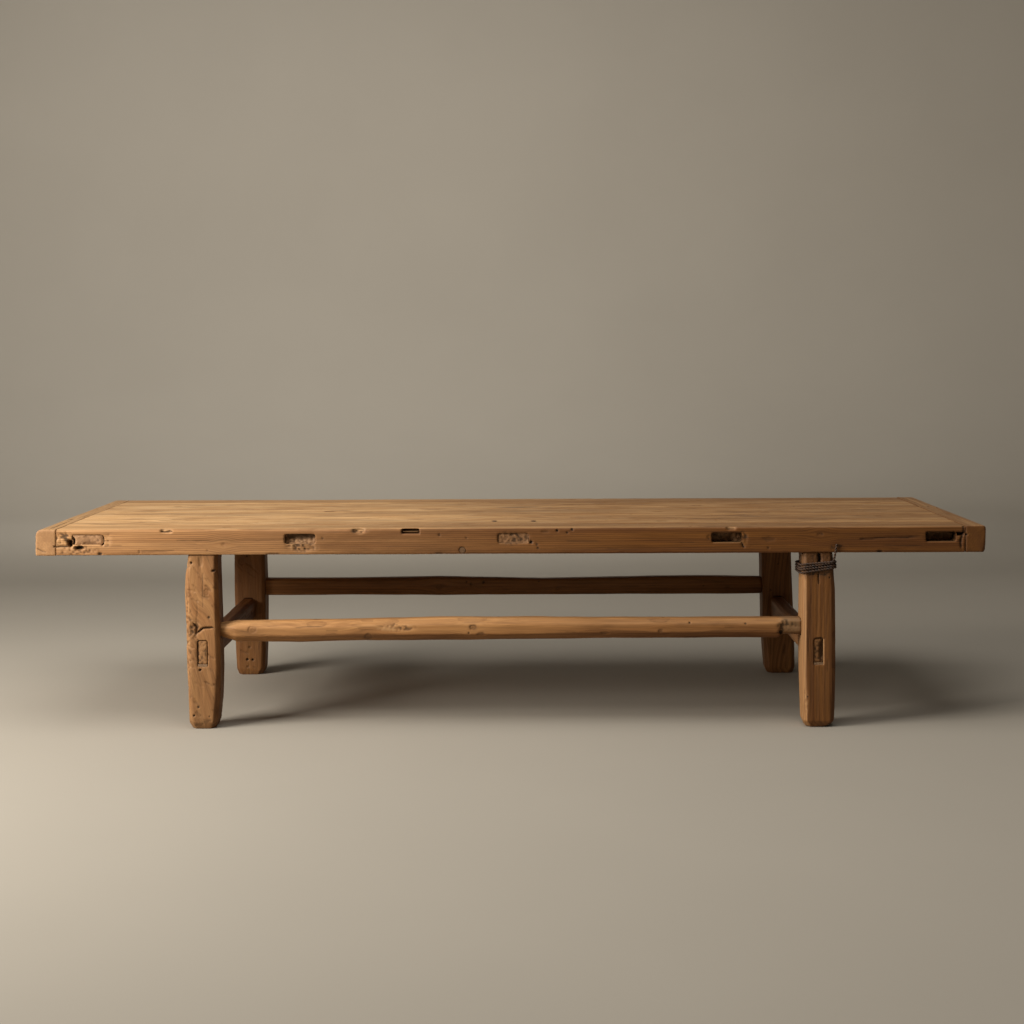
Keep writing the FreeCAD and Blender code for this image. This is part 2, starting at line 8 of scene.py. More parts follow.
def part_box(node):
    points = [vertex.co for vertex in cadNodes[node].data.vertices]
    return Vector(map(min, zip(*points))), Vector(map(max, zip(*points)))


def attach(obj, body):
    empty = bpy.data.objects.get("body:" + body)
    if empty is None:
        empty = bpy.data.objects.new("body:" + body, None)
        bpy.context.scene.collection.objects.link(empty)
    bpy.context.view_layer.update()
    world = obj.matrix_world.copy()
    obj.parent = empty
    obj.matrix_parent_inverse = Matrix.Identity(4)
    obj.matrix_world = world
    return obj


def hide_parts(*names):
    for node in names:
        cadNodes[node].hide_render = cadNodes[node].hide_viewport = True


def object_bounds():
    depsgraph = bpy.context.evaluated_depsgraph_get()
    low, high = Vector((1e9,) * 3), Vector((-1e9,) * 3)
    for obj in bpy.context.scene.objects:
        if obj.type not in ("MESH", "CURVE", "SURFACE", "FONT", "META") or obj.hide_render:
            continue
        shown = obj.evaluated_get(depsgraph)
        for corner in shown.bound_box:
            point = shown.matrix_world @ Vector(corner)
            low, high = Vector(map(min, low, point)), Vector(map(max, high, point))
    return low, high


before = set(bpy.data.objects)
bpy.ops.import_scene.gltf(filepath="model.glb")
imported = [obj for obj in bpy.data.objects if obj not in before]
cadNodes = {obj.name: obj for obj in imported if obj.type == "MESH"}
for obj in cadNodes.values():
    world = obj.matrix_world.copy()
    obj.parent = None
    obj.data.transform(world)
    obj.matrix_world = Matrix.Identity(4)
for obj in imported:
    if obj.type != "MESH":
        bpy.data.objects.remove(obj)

# A coffee table of reclaimed elm, worn and hewn, in metres, with its front towards -Y.
scene = bpy.context.scene
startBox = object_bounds()
meshScale = 1.0

# Each face: the axis it looks along, its direction, and the two axes that lie in it.
faces = {
    "front": (1, -1, [0, 2]), "back": (1, 1, [0, 2]), "left": (0, -1, [1, 2]),
    "right": (0, 1, [1, 2]), "top": (2, 1, [0, 1]), "under": (2, -1, [0, 1]),
}


# Node tree helpers, where an input takes a value or the output of another node

def addNode(tree, kind, inputs=(), **settings):
    node = tree.nodes.new(kind)
    for key, value in settings.items():
        setattr(node, key, value)
    for key, value in dict(inputs).items():
        if isinstance(value, bpy.types.NodeSocket):
            tree.links.new(value, node.inputs[key])
        else:
            node.inputs[key].default_value = value
    return node


def mathNode(tree, operation, *values):
    return addNode(tree, "ShaderNodeMath", enumerate(values), operation=operation).outputs[0]


def vectorNode(tree, operation, *values):
    return addNode(tree, "ShaderNodeVectorMath", enumerate(values), operation=operation).outputs


def rangeNode(tree, value, low, high, newLow=0.0, newHigh=1.0):
    inputs = {"Value": value, "From Min": low, "From Max": high, "To Min": newLow, "To Max": newHigh}
    return addNode(tree, "ShaderNodeMapRange", inputs, interpolation_type="SMOOTHSTEP").outputs["Result"]


def mixColour(tree, amount, first, second, blend="MIX"):
    first, second = ((*value, 1.0) if isinstance(value, tuple) else value for value in (first, second))
    inputs = {0: amount, 6: first, 7: second}
    return addNode(tree, "ShaderNodeMix", inputs, data_type="RGBA", blend_type=blend).outputs[2]


def stretchedNoise(tree, vector, scale, detail, roughness=0.55):
    stretched = vectorNode(tree, "MULTIPLY", vector, scale)[0]
    inputs = {"Vector": stretched, "Scale": 1.0, "Detail": detail, "Roughness": roughness}
    return addNode(tree, "ShaderNodeTexNoise", inputs).outputs[0]


def newMaterial(name):
    material = bpy.data.materials.new(name)
    material.use_nodes = True
    tree = material.node_tree
    return material, tree, tree.nodes["Principled BSDF"]


def dressSurface(tree, surface, colour, rough, height, strength, distance):
    bump = addNode(tree, "ShaderNodeBump", {"Strength": strength, "Distance": distance, "Height": height})
    for key, value in (("Base Color", colour), ("Roughness", rough), ("Normal", bump.outputs[0])):
        tree.links.new(value, surface.inputs[key])


def newTree(name, sockets):
    tree = bpy.data.node_groups.new(name, "GeometryNodeTree")
    for label, kind in (("Geometry", "Geometry"), *sockets, ("Material", "Material")):
        tree.interface.new_socket(label, in_out="INPUT", socket_type="NodeSocket" + kind)
    tree.interface.new_socket("Geometry", in_out="OUTPUT", socket_type="NodeSocketGeometry")
    return tree, tree.nodes.new("NodeGroupInput").outputs


def closeTree(tree, geometry, material):
    for kind in ("SetShadeSmooth", "RealizeInstances"):
        geometry = addNode(tree, "GeometryNode" + kind, {"Geometry": geometry}).outputs[0]
    paint = addNode(tree, "GeometryNodeSetMaterial", {"Geometry": geometry, "Material": material})
    addNode(tree, "NodeGroupOutput", {"Geometry": paint.outputs[0]})


# Elm: growth rings about a pith line, long streaks, open pores, knots, grey weathering, patina with painted
# shade, and dirt with painted shade in crevices

elmLook = {
    "light": (0.50, 0.265, 0.106), "mid": (0.385, 0.186, 0.068), "dark": (0.175, 0.073, 0.023),
    "pale": (0.58, 0.36, 0.18), "dirt": (0.022, 0.013, 0.006), "knotColour": (0.10, 0.043, 0.015),
    "poreColour": (0.10, 0.046, 0.018), "greyColour": (0.26, 0.165, 0.088), "endColour": (0.30, 0.16, 0.07),
    "bleachTint": (1.05, 1.16, 1.27), "ageTint": (0.36, 0.25, 0.11), "patchDepth": 0.25,
    "streak": (1.9, 62.0, 62.0), "patch": (4.2, 30.0, 30.0), "ringGap": 0.0052, "waver": 9.0,
    "ringDepth": 0.62, "wideDepth": 0.34, "poreDepth": 0.5, "weather": 0.25, "endDepth": 0.5,
    "wearShare": 0.4, "rough": 0.56, "gloss": 0.26, "bump": 0.3, "bumpDistance": 0.0008,
}


def elmMaterial(name, **changes):
    look = {**elmLook, **changes}
    material, tree, surface = newMaterial(name)
    surface.inputs["Specular IOR Level"].default_value = look["gloss"]

    def attribute(key):
        return addNode(tree, "ShaderNodeAttribute", attribute_name=key).outputs

    def noise(scale, detail, *roughness):
        return stretchedNoise(tree, grain, scale, detail, *roughness)

    def spread(value, *limits):
        return rangeNode(tree, value, *limits)

    def times(first, second):
        return mathNode(tree, "MULTIPLY", first, second)

    def timesPlus(first, second, third):
        return mathNode(tree, "MULTIPLY_ADD", first, second, third)

    def cover(colour, *layers):
        for amount, other in layers:
            colour = mixColour(tree, amount, colour, other)
        return colour

    def tint(colour, other, amount):
        return mixColour(tree, amount, colour, mixColour(tree, 1.0, colour, other, "MULTIPLY"))

    grain = attribute("woodCoord")["Vector"]
    marks = attribute("marks")
    cavity, wear, knot = addNode(tree, "ShaderNodeSeparateColor", {0: marks["Color"]}).outputs
    endGrain, bleach, age = (attribute(key)["Fac"] for key in ("endGrain", "bleach", "age"))

    rings = addNode(tree, "ShaderNodeTexWave", {
        "Vector": vectorNode(tree, "MULTIPLY", grain, (0.045, 1.0, 1.0))[0],
        "Scale": 2 * math.pi / 20 / look["ringGap"], "Distortion": look["waver"],
        "Detail": 2.0, "Detail Scale": 0.16, "Detail Roughness": 0.55,
    }, wave_type="RINGS", rings_direction="X", wave_profile="SAW")
    lateWood = spread(rings.outputs["Fac"], 0.35, 0.97)
    streak = spread(noise(look["streak"], 4.0), 0.32, 0.68)
    wide = spread(noise((0.9, 14.0, 14.0), 3.0), 0.3, 0.7)
    fine = noise((9.0, 330.0, 330.0), 3.0, 0.6)
    blotch = noise((4.0, 9.0, 9.0), 3.0)
    patch = spread(noise(look["patch"], 4.0, 0.6), 0.54, 0.70)
    pores = spread(noise((26.0, 620.0, 620.0), 1.0), 0.60, 0.72)
    pores = times(pores, timesPlus(lateWood, 0.6, 0.3))
    ringAmount = times(times(lateWood, timesPlus(streak, 0.45, 0.45)), timesPlus(endGrain, -0.6, 1.0))
    weather = times(spread(blotch, 0.42, 0.72), look["weather"])

    colour = cover(mixColour(tree, streak, look["light"], look["mid"]),
                   (times(wide, look["wideDepth"]), look["dark"]),
                   (times(ringAmount, look["ringDepth"]), look["dark"]),
                   (times(patch, look["patchDepth"]), look["dark"]))
    tone = spread(fine, 0.25, 0.75, 0.80, 1.14)
    tinted = addNode(tree, "ShaderNodeCombineColor", {0: tone, 1: tone, 2: tone}).outputs[0]
    colour = mixColour(tree, 1.0, colour, tinted, "MULTIPLY")
    colour = cover(tint(colour, look["bleachTint"], bleach),
                   (times(pores, look["poreDepth"]), look["poreColour"]),
                   (mathNode(tree, "MAXIMUM", weather, marks["Alpha"]), look["greyColour"]),
                   (times(endGrain, look["endDepth"]), look["endColour"]),
                   (times(wear, look["wearShare"]), look["pale"]))
    # patina with painted shade, dark marks with painted shade, and dirt with painted shade in crevices
    colour = cover(tint(colour, look["ageTint"], age),
                   (times(knot, spread(fine, 0.2, 0.8, 0.7, 1.0)), look["knotColour"]),
                   (cavity, look["dirt"]))
    rough = timesPlus(cavity, 0.2, spread(streak, 0.0, 1.0, look["rough"] - 0.06, look["rough"] + 0.08))
    height = timesPlus(pores, -0.8, timesPlus(lateWood, 0.5, times(fine, 0.9)))
    dressSurface(tree, surface, colour, rough, height, look["bump"], look["bumpDistance"])
    return material


materials = {
    "rail": elmMaterial("elm of the rails", ringGap=0.0046, waver=12.0, ringDepth=0.72, wideDepth=0.45,
                        patchDepth=0.38, weather=0.06),
    "endBoard": elmMaterial("elm of the end boards", ringGap=0.0050, weather=0.10),
    "panel": elmMaterial("elm of the panel", light=(0.66, 0.365, 0.154), mid=(0.49, 0.246, 0.092),
                         dark=(0.19, 0.083, 0.028), streak=(7.0, 40.0, 40.0), patch=(9.0, 36.0, 36.0),
                         ringGap=0.0064, waver=14.0, ringDepth=0.32, wideDepth=0.45, patchDepth=0.7,
                         weather=0.1, rough=0.58),
    "batten": elmMaterial("elm of the battens", light=(0.48, 0.27, 0.13), mid=(0.38, 0.20, 0.09),
                          endColour=(0.40, 0.225, 0.115), weather=0.12, rough=0.66),
    "leg": elmMaterial("elm of the streaky legs", waver=5.0, ringDepth=0.66, weather=0.12, bump=0.4,
                       rough=0.6),
    "hewnLeg": elmMaterial("elm of the hewn legs", ringGap=0.0066, waver=7.0, ringDepth=0.34,
                           patchDepth=0.3, weather=0.2, bump=0.5, rough=0.62),
    "stretcher": elmMaterial("elm of the stretchers", light=(0.54, 0.278, 0.104), mid=(0.43, 0.205, 0.070),
                             ringDepth=0.42, patchDepth=0.5, weather=0.04, rough=0.58),
}
print("materials of the wood made")


# The weathered surface: rounded arrises, hewn hollows and raised grain over a fine mesh

def makeWeatherTree():
    tree, source = newTree("weathered surface", (
        ("Rounding Passes", "Int"), ("Hew Depth", "Float"), ("Hew Size", "Vector"), ("Relief Depth", "Float"),
        ("Relief Size", "Vector"), ("Middle", "Float"), ("Seed", "Float")))
    place = addNode(tree, "GeometryNodeInputPosition").outputs[0]
    normal = addNode(tree, "GeometryNodeInputNormal").outputs[0]

    def seededNoise(vector, scale, detail):
        inputs = {"Vector": vector, "W": source["Seed"], "Scale": scale, "Detail": detail}
        return addNode(tree, "ShaderNodeTexNoise", inputs, noise_dimensions="4D").outputs[0]

    def movePoints(geometry, key, value):
        return addNode(tree, "GeometryNodeSetPosition", {"Geometry": geometry, key: value}).outputs[0]

    inputs = {"Value": place, "Iterations": source["Rounding Passes"]}
    soft = addNode(tree, "GeometryNodeBlurAttribute", inputs, data_type="FLOAT_VECTOR").outputs[0]
    pull = vectorNode(tree, "SUBTRACT", place, soft)[0]
    edge = vectorNode(tree, "DOT_PRODUCT", pull, normal)["Value"]
    inputs = {"Geometry": source["Geometry"], "Name": "edge", "Value": edge}
    keep = addNode(tree, "GeometryNodeStoreNamedAttribute", inputs, data_type="FLOAT", domain="POINT")
    share = rangeNode(tree, seededNoise(place, 21.0, 2.0), 0.3, 0.7, 0.35, 1.0)
    worn = addNode(tree, "ShaderNodeMix", {0: share, 4: place, 5: soft}, data_type="VECTOR").outputs[1]
    last = movePoints(keep.outputs[0], "Position", worn)
    for form, detail in (("Hew", 1.0), ("Relief", 2.0)):
        noise = seededNoise(vectorNode(tree, "DIVIDE", place, source[form + " Size"])[0], 1.0, detail)
        amount = mathNode(tree, "SUBTRACT", noise, source["Middle"])
        amount = mathNode(tree, "MULTIPLY", amount, source[form + " Depth"])
        shift = addNode(tree, "ShaderNodeVectorMath", {0: normal, "Scale": amount}, operation="SCALE")
        last = movePoints(last, "Offset", shift.outputs[0])
    closeTree(tree, last, source["Material"])
    return tree


weatherTree = makeWeatherTree()


def addForm(piece, name, tree, values):
    modifier = piece.modifiers.new(name, "NODES")
    modifier.node_group = tree
    for item in tree.interface.items_tree:
        if item.in_out == "INPUT" and item.name in values:
            modifier[item.identifier] = values[item.name]


def shownMesh(piece):
    view = bpy.context.evaluated_depsgraph_get()
    return bpy.data.meshes.new_from_object(piece.evaluated_get(view))


def freeze(piece):
    made = shownMesh(piece)
    piece.modifiers.clear()
    piece.data = made
    made.name = piece.name


def addPiece(name, data):
    piece = bpy.data.objects.new(name, data)
    scene.collection.objects.link(piece)
    return piece


# Wear and painted shade, worked on the points of a piece

def smoothNoise(points, seed):
    cell = np.floor(points).astype(np.int64)
    part = points - cell
    ease = part * part * (3 - 2 * part)
    total = np.zeros(len(points))
    for corner in range(8):
        step = np.array([corner & 1, corner >> 1 & 1, corner >> 2 & 1])
        at = cell + step
        mixed = at[:, 0] * 73856093 ^ at[:, 1] * 19349663 ^ at[:, 2] * 83492791 ^ seed * 40503
        for bits, factor in ((15, 668265263), (13, 374761393)):
            mixed = (mixed ^ mixed >> bits) * factor & 0xffffffff
        value = (mixed ^ mixed >> 16) % 65536 / 65535
        total += value * np.prod(np.where(step == 1, ease, 1 - ease), axis=1)
    return total


def easeStep(value, low, high):
    share = np.clip((value - low) / (high - low), 0, 1)
    return share * share * (3 - 2 * share)


def withinEdge(apart, low=0.55, high=1.15):
    return 1 - easeStep(apart, low, high)


def faceLevel(work, face):
    axis, sign, flat = faces[face]
    return work["high" if sign > 0 else "low"][axis]


def onFace(work, face, reach=None):
    axis, sign, flat = faces[face]
    near = np.abs(work["points"][:, axis] - faceLevel(work, face)) < (reach or work["reach"])
    return near & (work["normals"][:, axis] * sign > 0.35)


def facing(work, face, low, high):
    axis, sign, flat = faces[face]
    return easeStep(sign * work["normals"][:, axis], low, high)


def apartFrom(work, face, centre, radius):
    spot = work["points"][:, faces[face][2]]
    return np.linalg.norm((spot - np.array(centre)) / np.array(radius), axis=1)


def deepen(work, channel, amount):
    work[channel] = np.maximum(work[channel], amount)


def press(work, face, amount, depth, dark, channel="cavity"):
    axis, sign, flat = faces[face]
    work["points"][:, axis] -= sign * depth * amount
    # the pressed hollow is darkened with dirt and painted shade
    deepen(work, channel, amount * dark)


def cutCrack(work, face, path, width, depth, dark=1.0, channel="cavity", reach=None):
    points = work["points"]
    wander = (smoothNoise(points * 140 + 7, 3) - 0.5) * 2 + (smoothNoise(points * 40, 5) - 0.5) * 3
    spot = points[:, faces[face][2]] + wander[:, None] * width * 0.5
    corners = [np.array(corner) for corner in path]
    lengths = [np.linalg.norm(b - a) for a, b in zip(corners, corners[1:])]
    whole = sum(lengths)
    nearest = np.full(len(points), 9.0)
    along = np.zeros(len(points))
    done = 0
    for start, end, length in zip(corners, corners[1:], lengths):
        share = np.clip((spot - start) @ (end - start) / length ** 2, 0, 1)
        apart = np.linalg.norm(spot - start - share[:, None] * (end - start), axis=1)
        closer = apart < nearest
        nearest[closer] = apart[closer]
        along[closer] = (done + share[closer] * length) / whole
        done += length
    taper = np.clip(np.minimum(along, 1 - along) * 5, 0.25, 1)
    amount = np.exp(-(nearest / (width * taper)) ** 2) * onFace(work, face, reach)
    press(work, face, amount, depth, dark, channel)


def darkStreak(work, face, path, width, dark):
    cutCrack(work, face, path, width, 0.0004, dark, "knot")


def cutNotch(work, face, centre, half, depth, dark):
    spot = np.abs(work["points"][:, faces[face][2]] - np.array(centre)) - np.array(half)
    inside = withinEdge(spot.max(axis=1), -0.0008, 0.0008)
    press(work, face, inside * onFace(work, face), depth, dark)


def roughPatch(work, face, centre, radius, depth, dark, bare):
    # torn and crumbled wood: small pits, darkened with dirt and painted shade, in a paler field
    field = withinEdge(apartFrom(work, face, centre, radius)) * onFace(work, face)
    torn = 0.6 * smoothNoise(work["points"] * 260, 71) + 0.4 * smoothNoise(work["points"] * 120, 73)
    press(work, face, field * torn, depth, 0)
    deepen(work, "cavity", field * easeStep(torn, 0.49, 0.70) * dark)
    deepen(work, "wear", field * easeStep(0.52 - torn, 0.0, 0.22) * bare)


def sinkPit(work, face, centre, radius, depth, dark=1.0):
    ragged = 0.75 + 0.5 * smoothNoise(work["points"] * 190, 17)
    amount = withinEdge(apartFrom(work, face, centre, radius) / ragged) * onFace(work, face)
    press(work, face, amount, depth, dark)


def growKnot(work, face, centre, radius, dark):
    axis, sign, flat = faces[face]
    grain = work["grain"]
    across = flat[1] if flat[0] == grain else flat[0]
    points = work["points"]
    middle = dict(zip(flat, centre))
    offAlong = points[:, grain] - middle[grain]
    offAcross = points[:, across] - middle[across]
    hold = onFace(work, face)
    part = np.exp(-(offAlong / (4.2 * radius)) ** 2 - (offAcross / (3.0 * radius)) ** 2) * hold
    work["shift"][:, across] -= offAcross * part * 0.8
    ragged = 0.8 + 0.4 * smoothNoise(points * 150, 23)
    apart = np.hypot(offAlong / 1.35, offAcross) / radius / ragged
    core = withinEdge(apart) * (0.75 + 0.25 * np.cos(apart * 11)) * hold
    deepen(work, "knot", core * dark)
    points[:, axis] -= sign * 0.0012 * core * (apart < 0.6)


def breakChip(work, bare, centre, radius, direction, depth):
    direction = np.array(direction) / np.linalg.norm(direction)
    offset = work["points"] - np.array(centre)
    rough = (smoothNoise(work["points"] * np.array([90, 260, 260]), 31) - 0.5) * depth * 0.7
    near = withinEdge(np.linalg.norm(offset / np.array(radius), axis=1), 0.6, 1.1)
    cut = np.clip(offset @ direction + depth + rough, 0, None) * near
    work["points"] -= cut[:, None] * direction
    deepen(work, "wear", np.clip(cut / 0.002, 0, 1) * bare)


def wearArris(work, first, second, drops):
    soft, wobble, bare, far = 0.002, 0.0012, 0.1, 0.035
    points = work["points"]
    sides = [(*faces[face][:2], faceLevel(work, face)) for face in (first, second)]
    out = sum(sign * (points[:, axis] - level) for axis, sign, level in sides) / math.sqrt(2)
    along = 3 - sides[0][0] - sides[1][0]
    line = np.zeros_like(points)
    line[:, along] = points[:, along]
    uneven = (smoothNoise(line * 30, 41) - 0.5) * 2 + (smoothNoise(line * 95, 43) - 0.5)
    drop = np.clip(np.interp(points[:, along], *zip(*drops)) + uneven * wobble, 0, None)
    over = out + drop / math.sqrt(2)
    cut = np.where(out > -far, 0.5 * (over + np.sqrt(over ** 2 + soft ** 2)) - 0.15 * soft, 0)
    cut = np.clip(cut, 0, None)
    for axis, sign, level in sides:
        points[:, axis] -= sign * cut / math.sqrt(2)
    deepen(work, "wear", np.clip(cut / 0.0025, 0, 1) * bare)


def stainPatch(work, face, centre, radius, grey):
    ragged = 0.6 + 0.8 * smoothNoise(work["points"] * np.array([25, 60, 60]), 53)
    apart = apartFrom(work, face, centre, radius) / ragged
    deepen(work, "grey", withinEdge(apart, 0.3, 1.1) * onFace(work, face) * grey)


def scatterMarks(work, face, count, seed):
    # small dents, short checks along the grain and a few nail holes
    pick = np.random.default_rng(seed)
    flat = faces[face][2]
    margin = 0.008
    turn = 1 if flat[0] == work["grain"] else -1
    for number in range(count):
        centre = pick.uniform(work["low"][flat] + margin, work["high"][flat] - margin)
        kind = pick.random()
        size = pick.uniform(0.0016, 0.0036)
        if kind < 0.45:
            sinkPit(work, face, centre, (size, size), size * 0.5, pick.uniform(0.4, 0.9))
        elif kind < 0.85:
            length = pick.uniform(0.02, 0.11)
            step = np.array([length, length * pick.uniform(-0.03, 0.03)][::turn])
            cutCrack(work, face, [centre - step / 2, centre + step / 2], size * 0.45, 0.0006,
                     pick.uniform(0.2, 0.55))
        else:
            sinkPit(work, face, centre, (size * 4, size * 1.6)[::turn], 0.0011, 0.25)


def hewCuts(work, face, count, seed):
    # shallow slanting strokes left by the adze
    pick = np.random.default_rng(seed)
    flat = faces[face][2]
    slant, reach = -0.6, 0.03
    for number in range(count):
        centre = pick.uniform(work["low"][flat], work["high"][flat])
        angle = slant + pick.uniform(-0.35, 0.35)
        step = np.array([math.cos(angle), math.sin(angle)]) * pick.uniform(0.006, 0.015)
        cutCrack(work, face, [centre - step, centre + step], pick.uniform(0.0014, 0.0028),
                 pick.uniform(0.0007, 0.0016), pick.uniform(0.05, 0.3), reach=reach)


def shadeAndStainBand(work, dark, low, high, soft):
    # darker between two heights: painted shade, as at the feet and under the wire, together with damp and
    # rust stain
    ragged = (smoothNoise(work["points"] * np.array([170, 170, 12]), 83) - 0.5) * soft * 1.8
    height = work["points"][:, 2] + ragged
    amount = easeStep(height, low - soft, low + soft) * withinEdge(height, high - soft, high + soft)
    deepen(work, "knot", amount * dark)


def paintSideShade(work, face, share):
    # painted light and shade by which way a side faces: a positive share darkens the side as if shaded, a
    # negative one lightens it as if lit
    work["age"] *= 1 + share * facing(work, face, 0.25, 0.75)


def fillJoint(work, face):
    # old wax and dirt along a joint in the top
    dark, rim = 0.5, 0.006
    side = facing(work, face, 0.1, 0.5) * (work["points"][:, 2] > work["high"][2] - rim)
    work["wear"] *= 1 - side
    work["age"] += dark * side


def readValues(items, key, width):
    values = np.zeros(len(items) * width, np.float32)
    items.foreach_get(key, values)
    return values.reshape(-1, width)


def storeValues(mesh, name, kind, key, values):
    layer = mesh.attributes.new(name, kind, "POINT")
    layer.data.foreach_set(key, values.astype(np.float32).ravel())


def thinHidden(piece, hidden, keep):
    # sides that no one sees need fewer faces
    chosen = np.nonzero(hidden(readValues(piece.data.vertices, "co", 3)))[0]
    group = piece.vertex_groups.new(name="hidden")
    group.add(chosen.tolist(), 1.0, "REPLACE")
    thin = piece.modifiers.new("thin", "DECIMATE")
    thin.ratio = keep
    thin.vertex_group = group.name


def fineMesh(name, settings):
    mesh = cadNodes[name].data.copy()
    joined = bmesh.new()
    joined.from_mesh(mesh)
    bmesh.ops.remove_doubles(joined, verts=joined.verts, dist=1e-6)
    joined.to_mesh(mesh)
    joined.free()
    mesh.materials.clear()
    piece = addPiece(name + "_worn", mesh)
    fine = piece.modifiers.new("fine mesh", "REMESH")
    fine.mode = "VOXEL"
    fine.voxel_size = settings["voxel"] * meshScale
    if "hidden" in settings:
        freeze(piece)
        thinHidden(piece, settings["hidden"], settings["keep"])
    stretch = np.where(np.arange(3) == settings["grain"], 1, 0)
    addForm(piece, "weathered", weatherTree, {
        "Rounding Passes": max(1, round(settings["passes"] / meshScale ** 2)),
        "Hew Depth": settings["hewDepth"], "Hew Size": (settings["hewSize"] * 2.6 ** stretch).tolist(),
        "Relief Depth": settings["reliefDepth"],
        "Relief Size": (settings["reliefSize"] * 22.0 ** stretch).tolist(),
        "Middle": settings.get("middle", 0.6), "Seed": settings["seed"] * 1.37,
        "Material": materials[settings["material"]],
    })
    freeze(piece)
    return piece


def woodPiece(name, settings, marks=()):
    # a mark: the step that makes it, its face or share, and a row of values for each place
    piece = fineMesh(name, settings)
    made = piece.data
    grain = settings["grain"]
    points = readValues(made.vertices, "co", 3).astype(float)
    normals = readValues(made.vertex_normals, "vector", 3).astype(float)
    edge = readValues(made.attributes["edge"].data, "value", 1)[:, 0]
    count = len(points)
    low, high = (np.array(corner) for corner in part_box(name))
    patchy = smoothNoise(points * 26, settings["seed"])
    upward = easeStep(normals[:, 2], 0.45, 0.9)
    sidePatinaShade, topAge = (np.interp(points[:, 0], *zip(*stations))
                       for stations in (settings["age"], settings.get("topAge", settings["age"])))
    # patina with painted shade, from the side ramp and the top ramp
    work = {
        "points": points, "normals": normals, "grain": grain, "low": low, "high": high,
        "reach": settings.get("reach", 0.02), "age": sidePatinaShade + (topAge - sidePatinaShade) * upward,
        "wear": easeStep(edge, 0.0002, 0.0016) * (0.02 + 0.24 * patchy),
        # painted shade in the concave creases
        "cavity": easeStep(-edge, 0.0001, 0.0011) * 0.8,
        "knot": np.zeros(count), "grey": np.zeros(count), "shift": np.zeros((count, 3)),
    }
    if "shape" in settings:
        settings["shape"](work)
    for face in settings.get("joints", ()):
        fillJoint(work, face)
    for step, shared, *rows in marks:
        for row in rows:
            step(work, shared, *row)
    for number, (face, dents) in enumerate(settings.get("dents", {}).items(), start=1):
        scatterMarks(work, face, dents, settings["dentSeed"] + number)

    points = np.clip(work["points"], startBox[0], startBox[1])
    made.vertices.foreach_set("co", points.astype(np.float32).ravel())
    order = [grain] + [axis for axis in range(3) if axis != grain]
    wood = (points + work["shift"])[:, order] - np.array([settings["seed"] * -2.3, *settings["pith"]])
    packed = np.stack([work[channel] for channel in ("cavity", "wear", "knot", "grey")], axis=1)
    storeValues(made, "woodCoord", "FLOAT_VECTOR", "vector", wood)
    storeValues(made, "marks", "FLOAT_COLOR", "color", np.clip(packed, 0, 1))
    for key, values in (("endGrain", easeStep(np.abs(normals[:, grain]), 0.55, 0.9)),
                        ("bleach", upward * settings["bleach"]), ("age", np.clip(work["age"], 0, 1))):
        storeValues(made, key, "FLOAT", "value", values)
    made.attributes.remove(made.attributes["edge"])
    made.update()
    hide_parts(name)
    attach(piece, "root")
    triangles = len(made.loops) - 2 * len(made.polygons)
    corners = np.round(np.concatenate([points.min(axis=0), points.max(axis=0)]) * 1000, 1)
    print(f"{name}: {triangles} triangles, box {corners.tolist()}")


# Rails of the top

battenPlaces = (-0.890, -0.441, 0.008, 0.457, 0.906)
batten = {"height": 0.4025, "slotHalf": (0.0335, 0.0115), "slotRim": 0.014, "endReach": 0.012,
          "swell": 0.0011, "tear": 0.0022, "under": 0.394, "endFrom": 0.27}
rail = {"face": 0.32, "shownDepth": 0.062, "under": 0.3705}

# how dark the patina and its painted shade are along the table: places along x and shares
frontPatinaShade = [(-0.95, 0.0), (-0.7, 0.05), (-0.5, 0.21), (-0.3, 0.49), (0.0, 0.82), (0.3, 0.98), (0.95, 0.94)]
topAge = [(-0.6, 0.0), (-0.25, 0.13), (0.0, 0.42), (0.25, 0.60), (0.6, 0.61), (0.95, 0.57)]
battenPatinaShade = [(-0.89, 0.2), (-0.44, 0.1), (0.01, 0.6), (0.45, 0.0), (0.95, 0.22)]


def inSlots(points):
    halfWidth, halfHeight = batten["slotHalf"]
    apart = np.min([np.abs(points[:, 0] - place) for place in battenPlaces], axis=0)
    return (apart < halfWidth) & (np.abs(points[:, 2] - batten["height"]) < halfHeight)


def hiddenOfRail(points):
    depth = rail["face"] - np.abs(points[:, 1])
    away = (depth > rail["shownDepth"]) | (points[:, 2] < rail["under"])
    return away | inSlots(points) & (depth > batten["slotRim"])


def shadeSlots(work):
    # painted shade inside the five through mortises
    points = work["points"]
    depth = np.minimum(points[:, 1] - work["low"][1], work["high"][1] - points[:, 1])
    deepen(work, "cavity", inSlots(points) * easeStep(depth, 0.003, batten["slotRim"]) * 0.6)


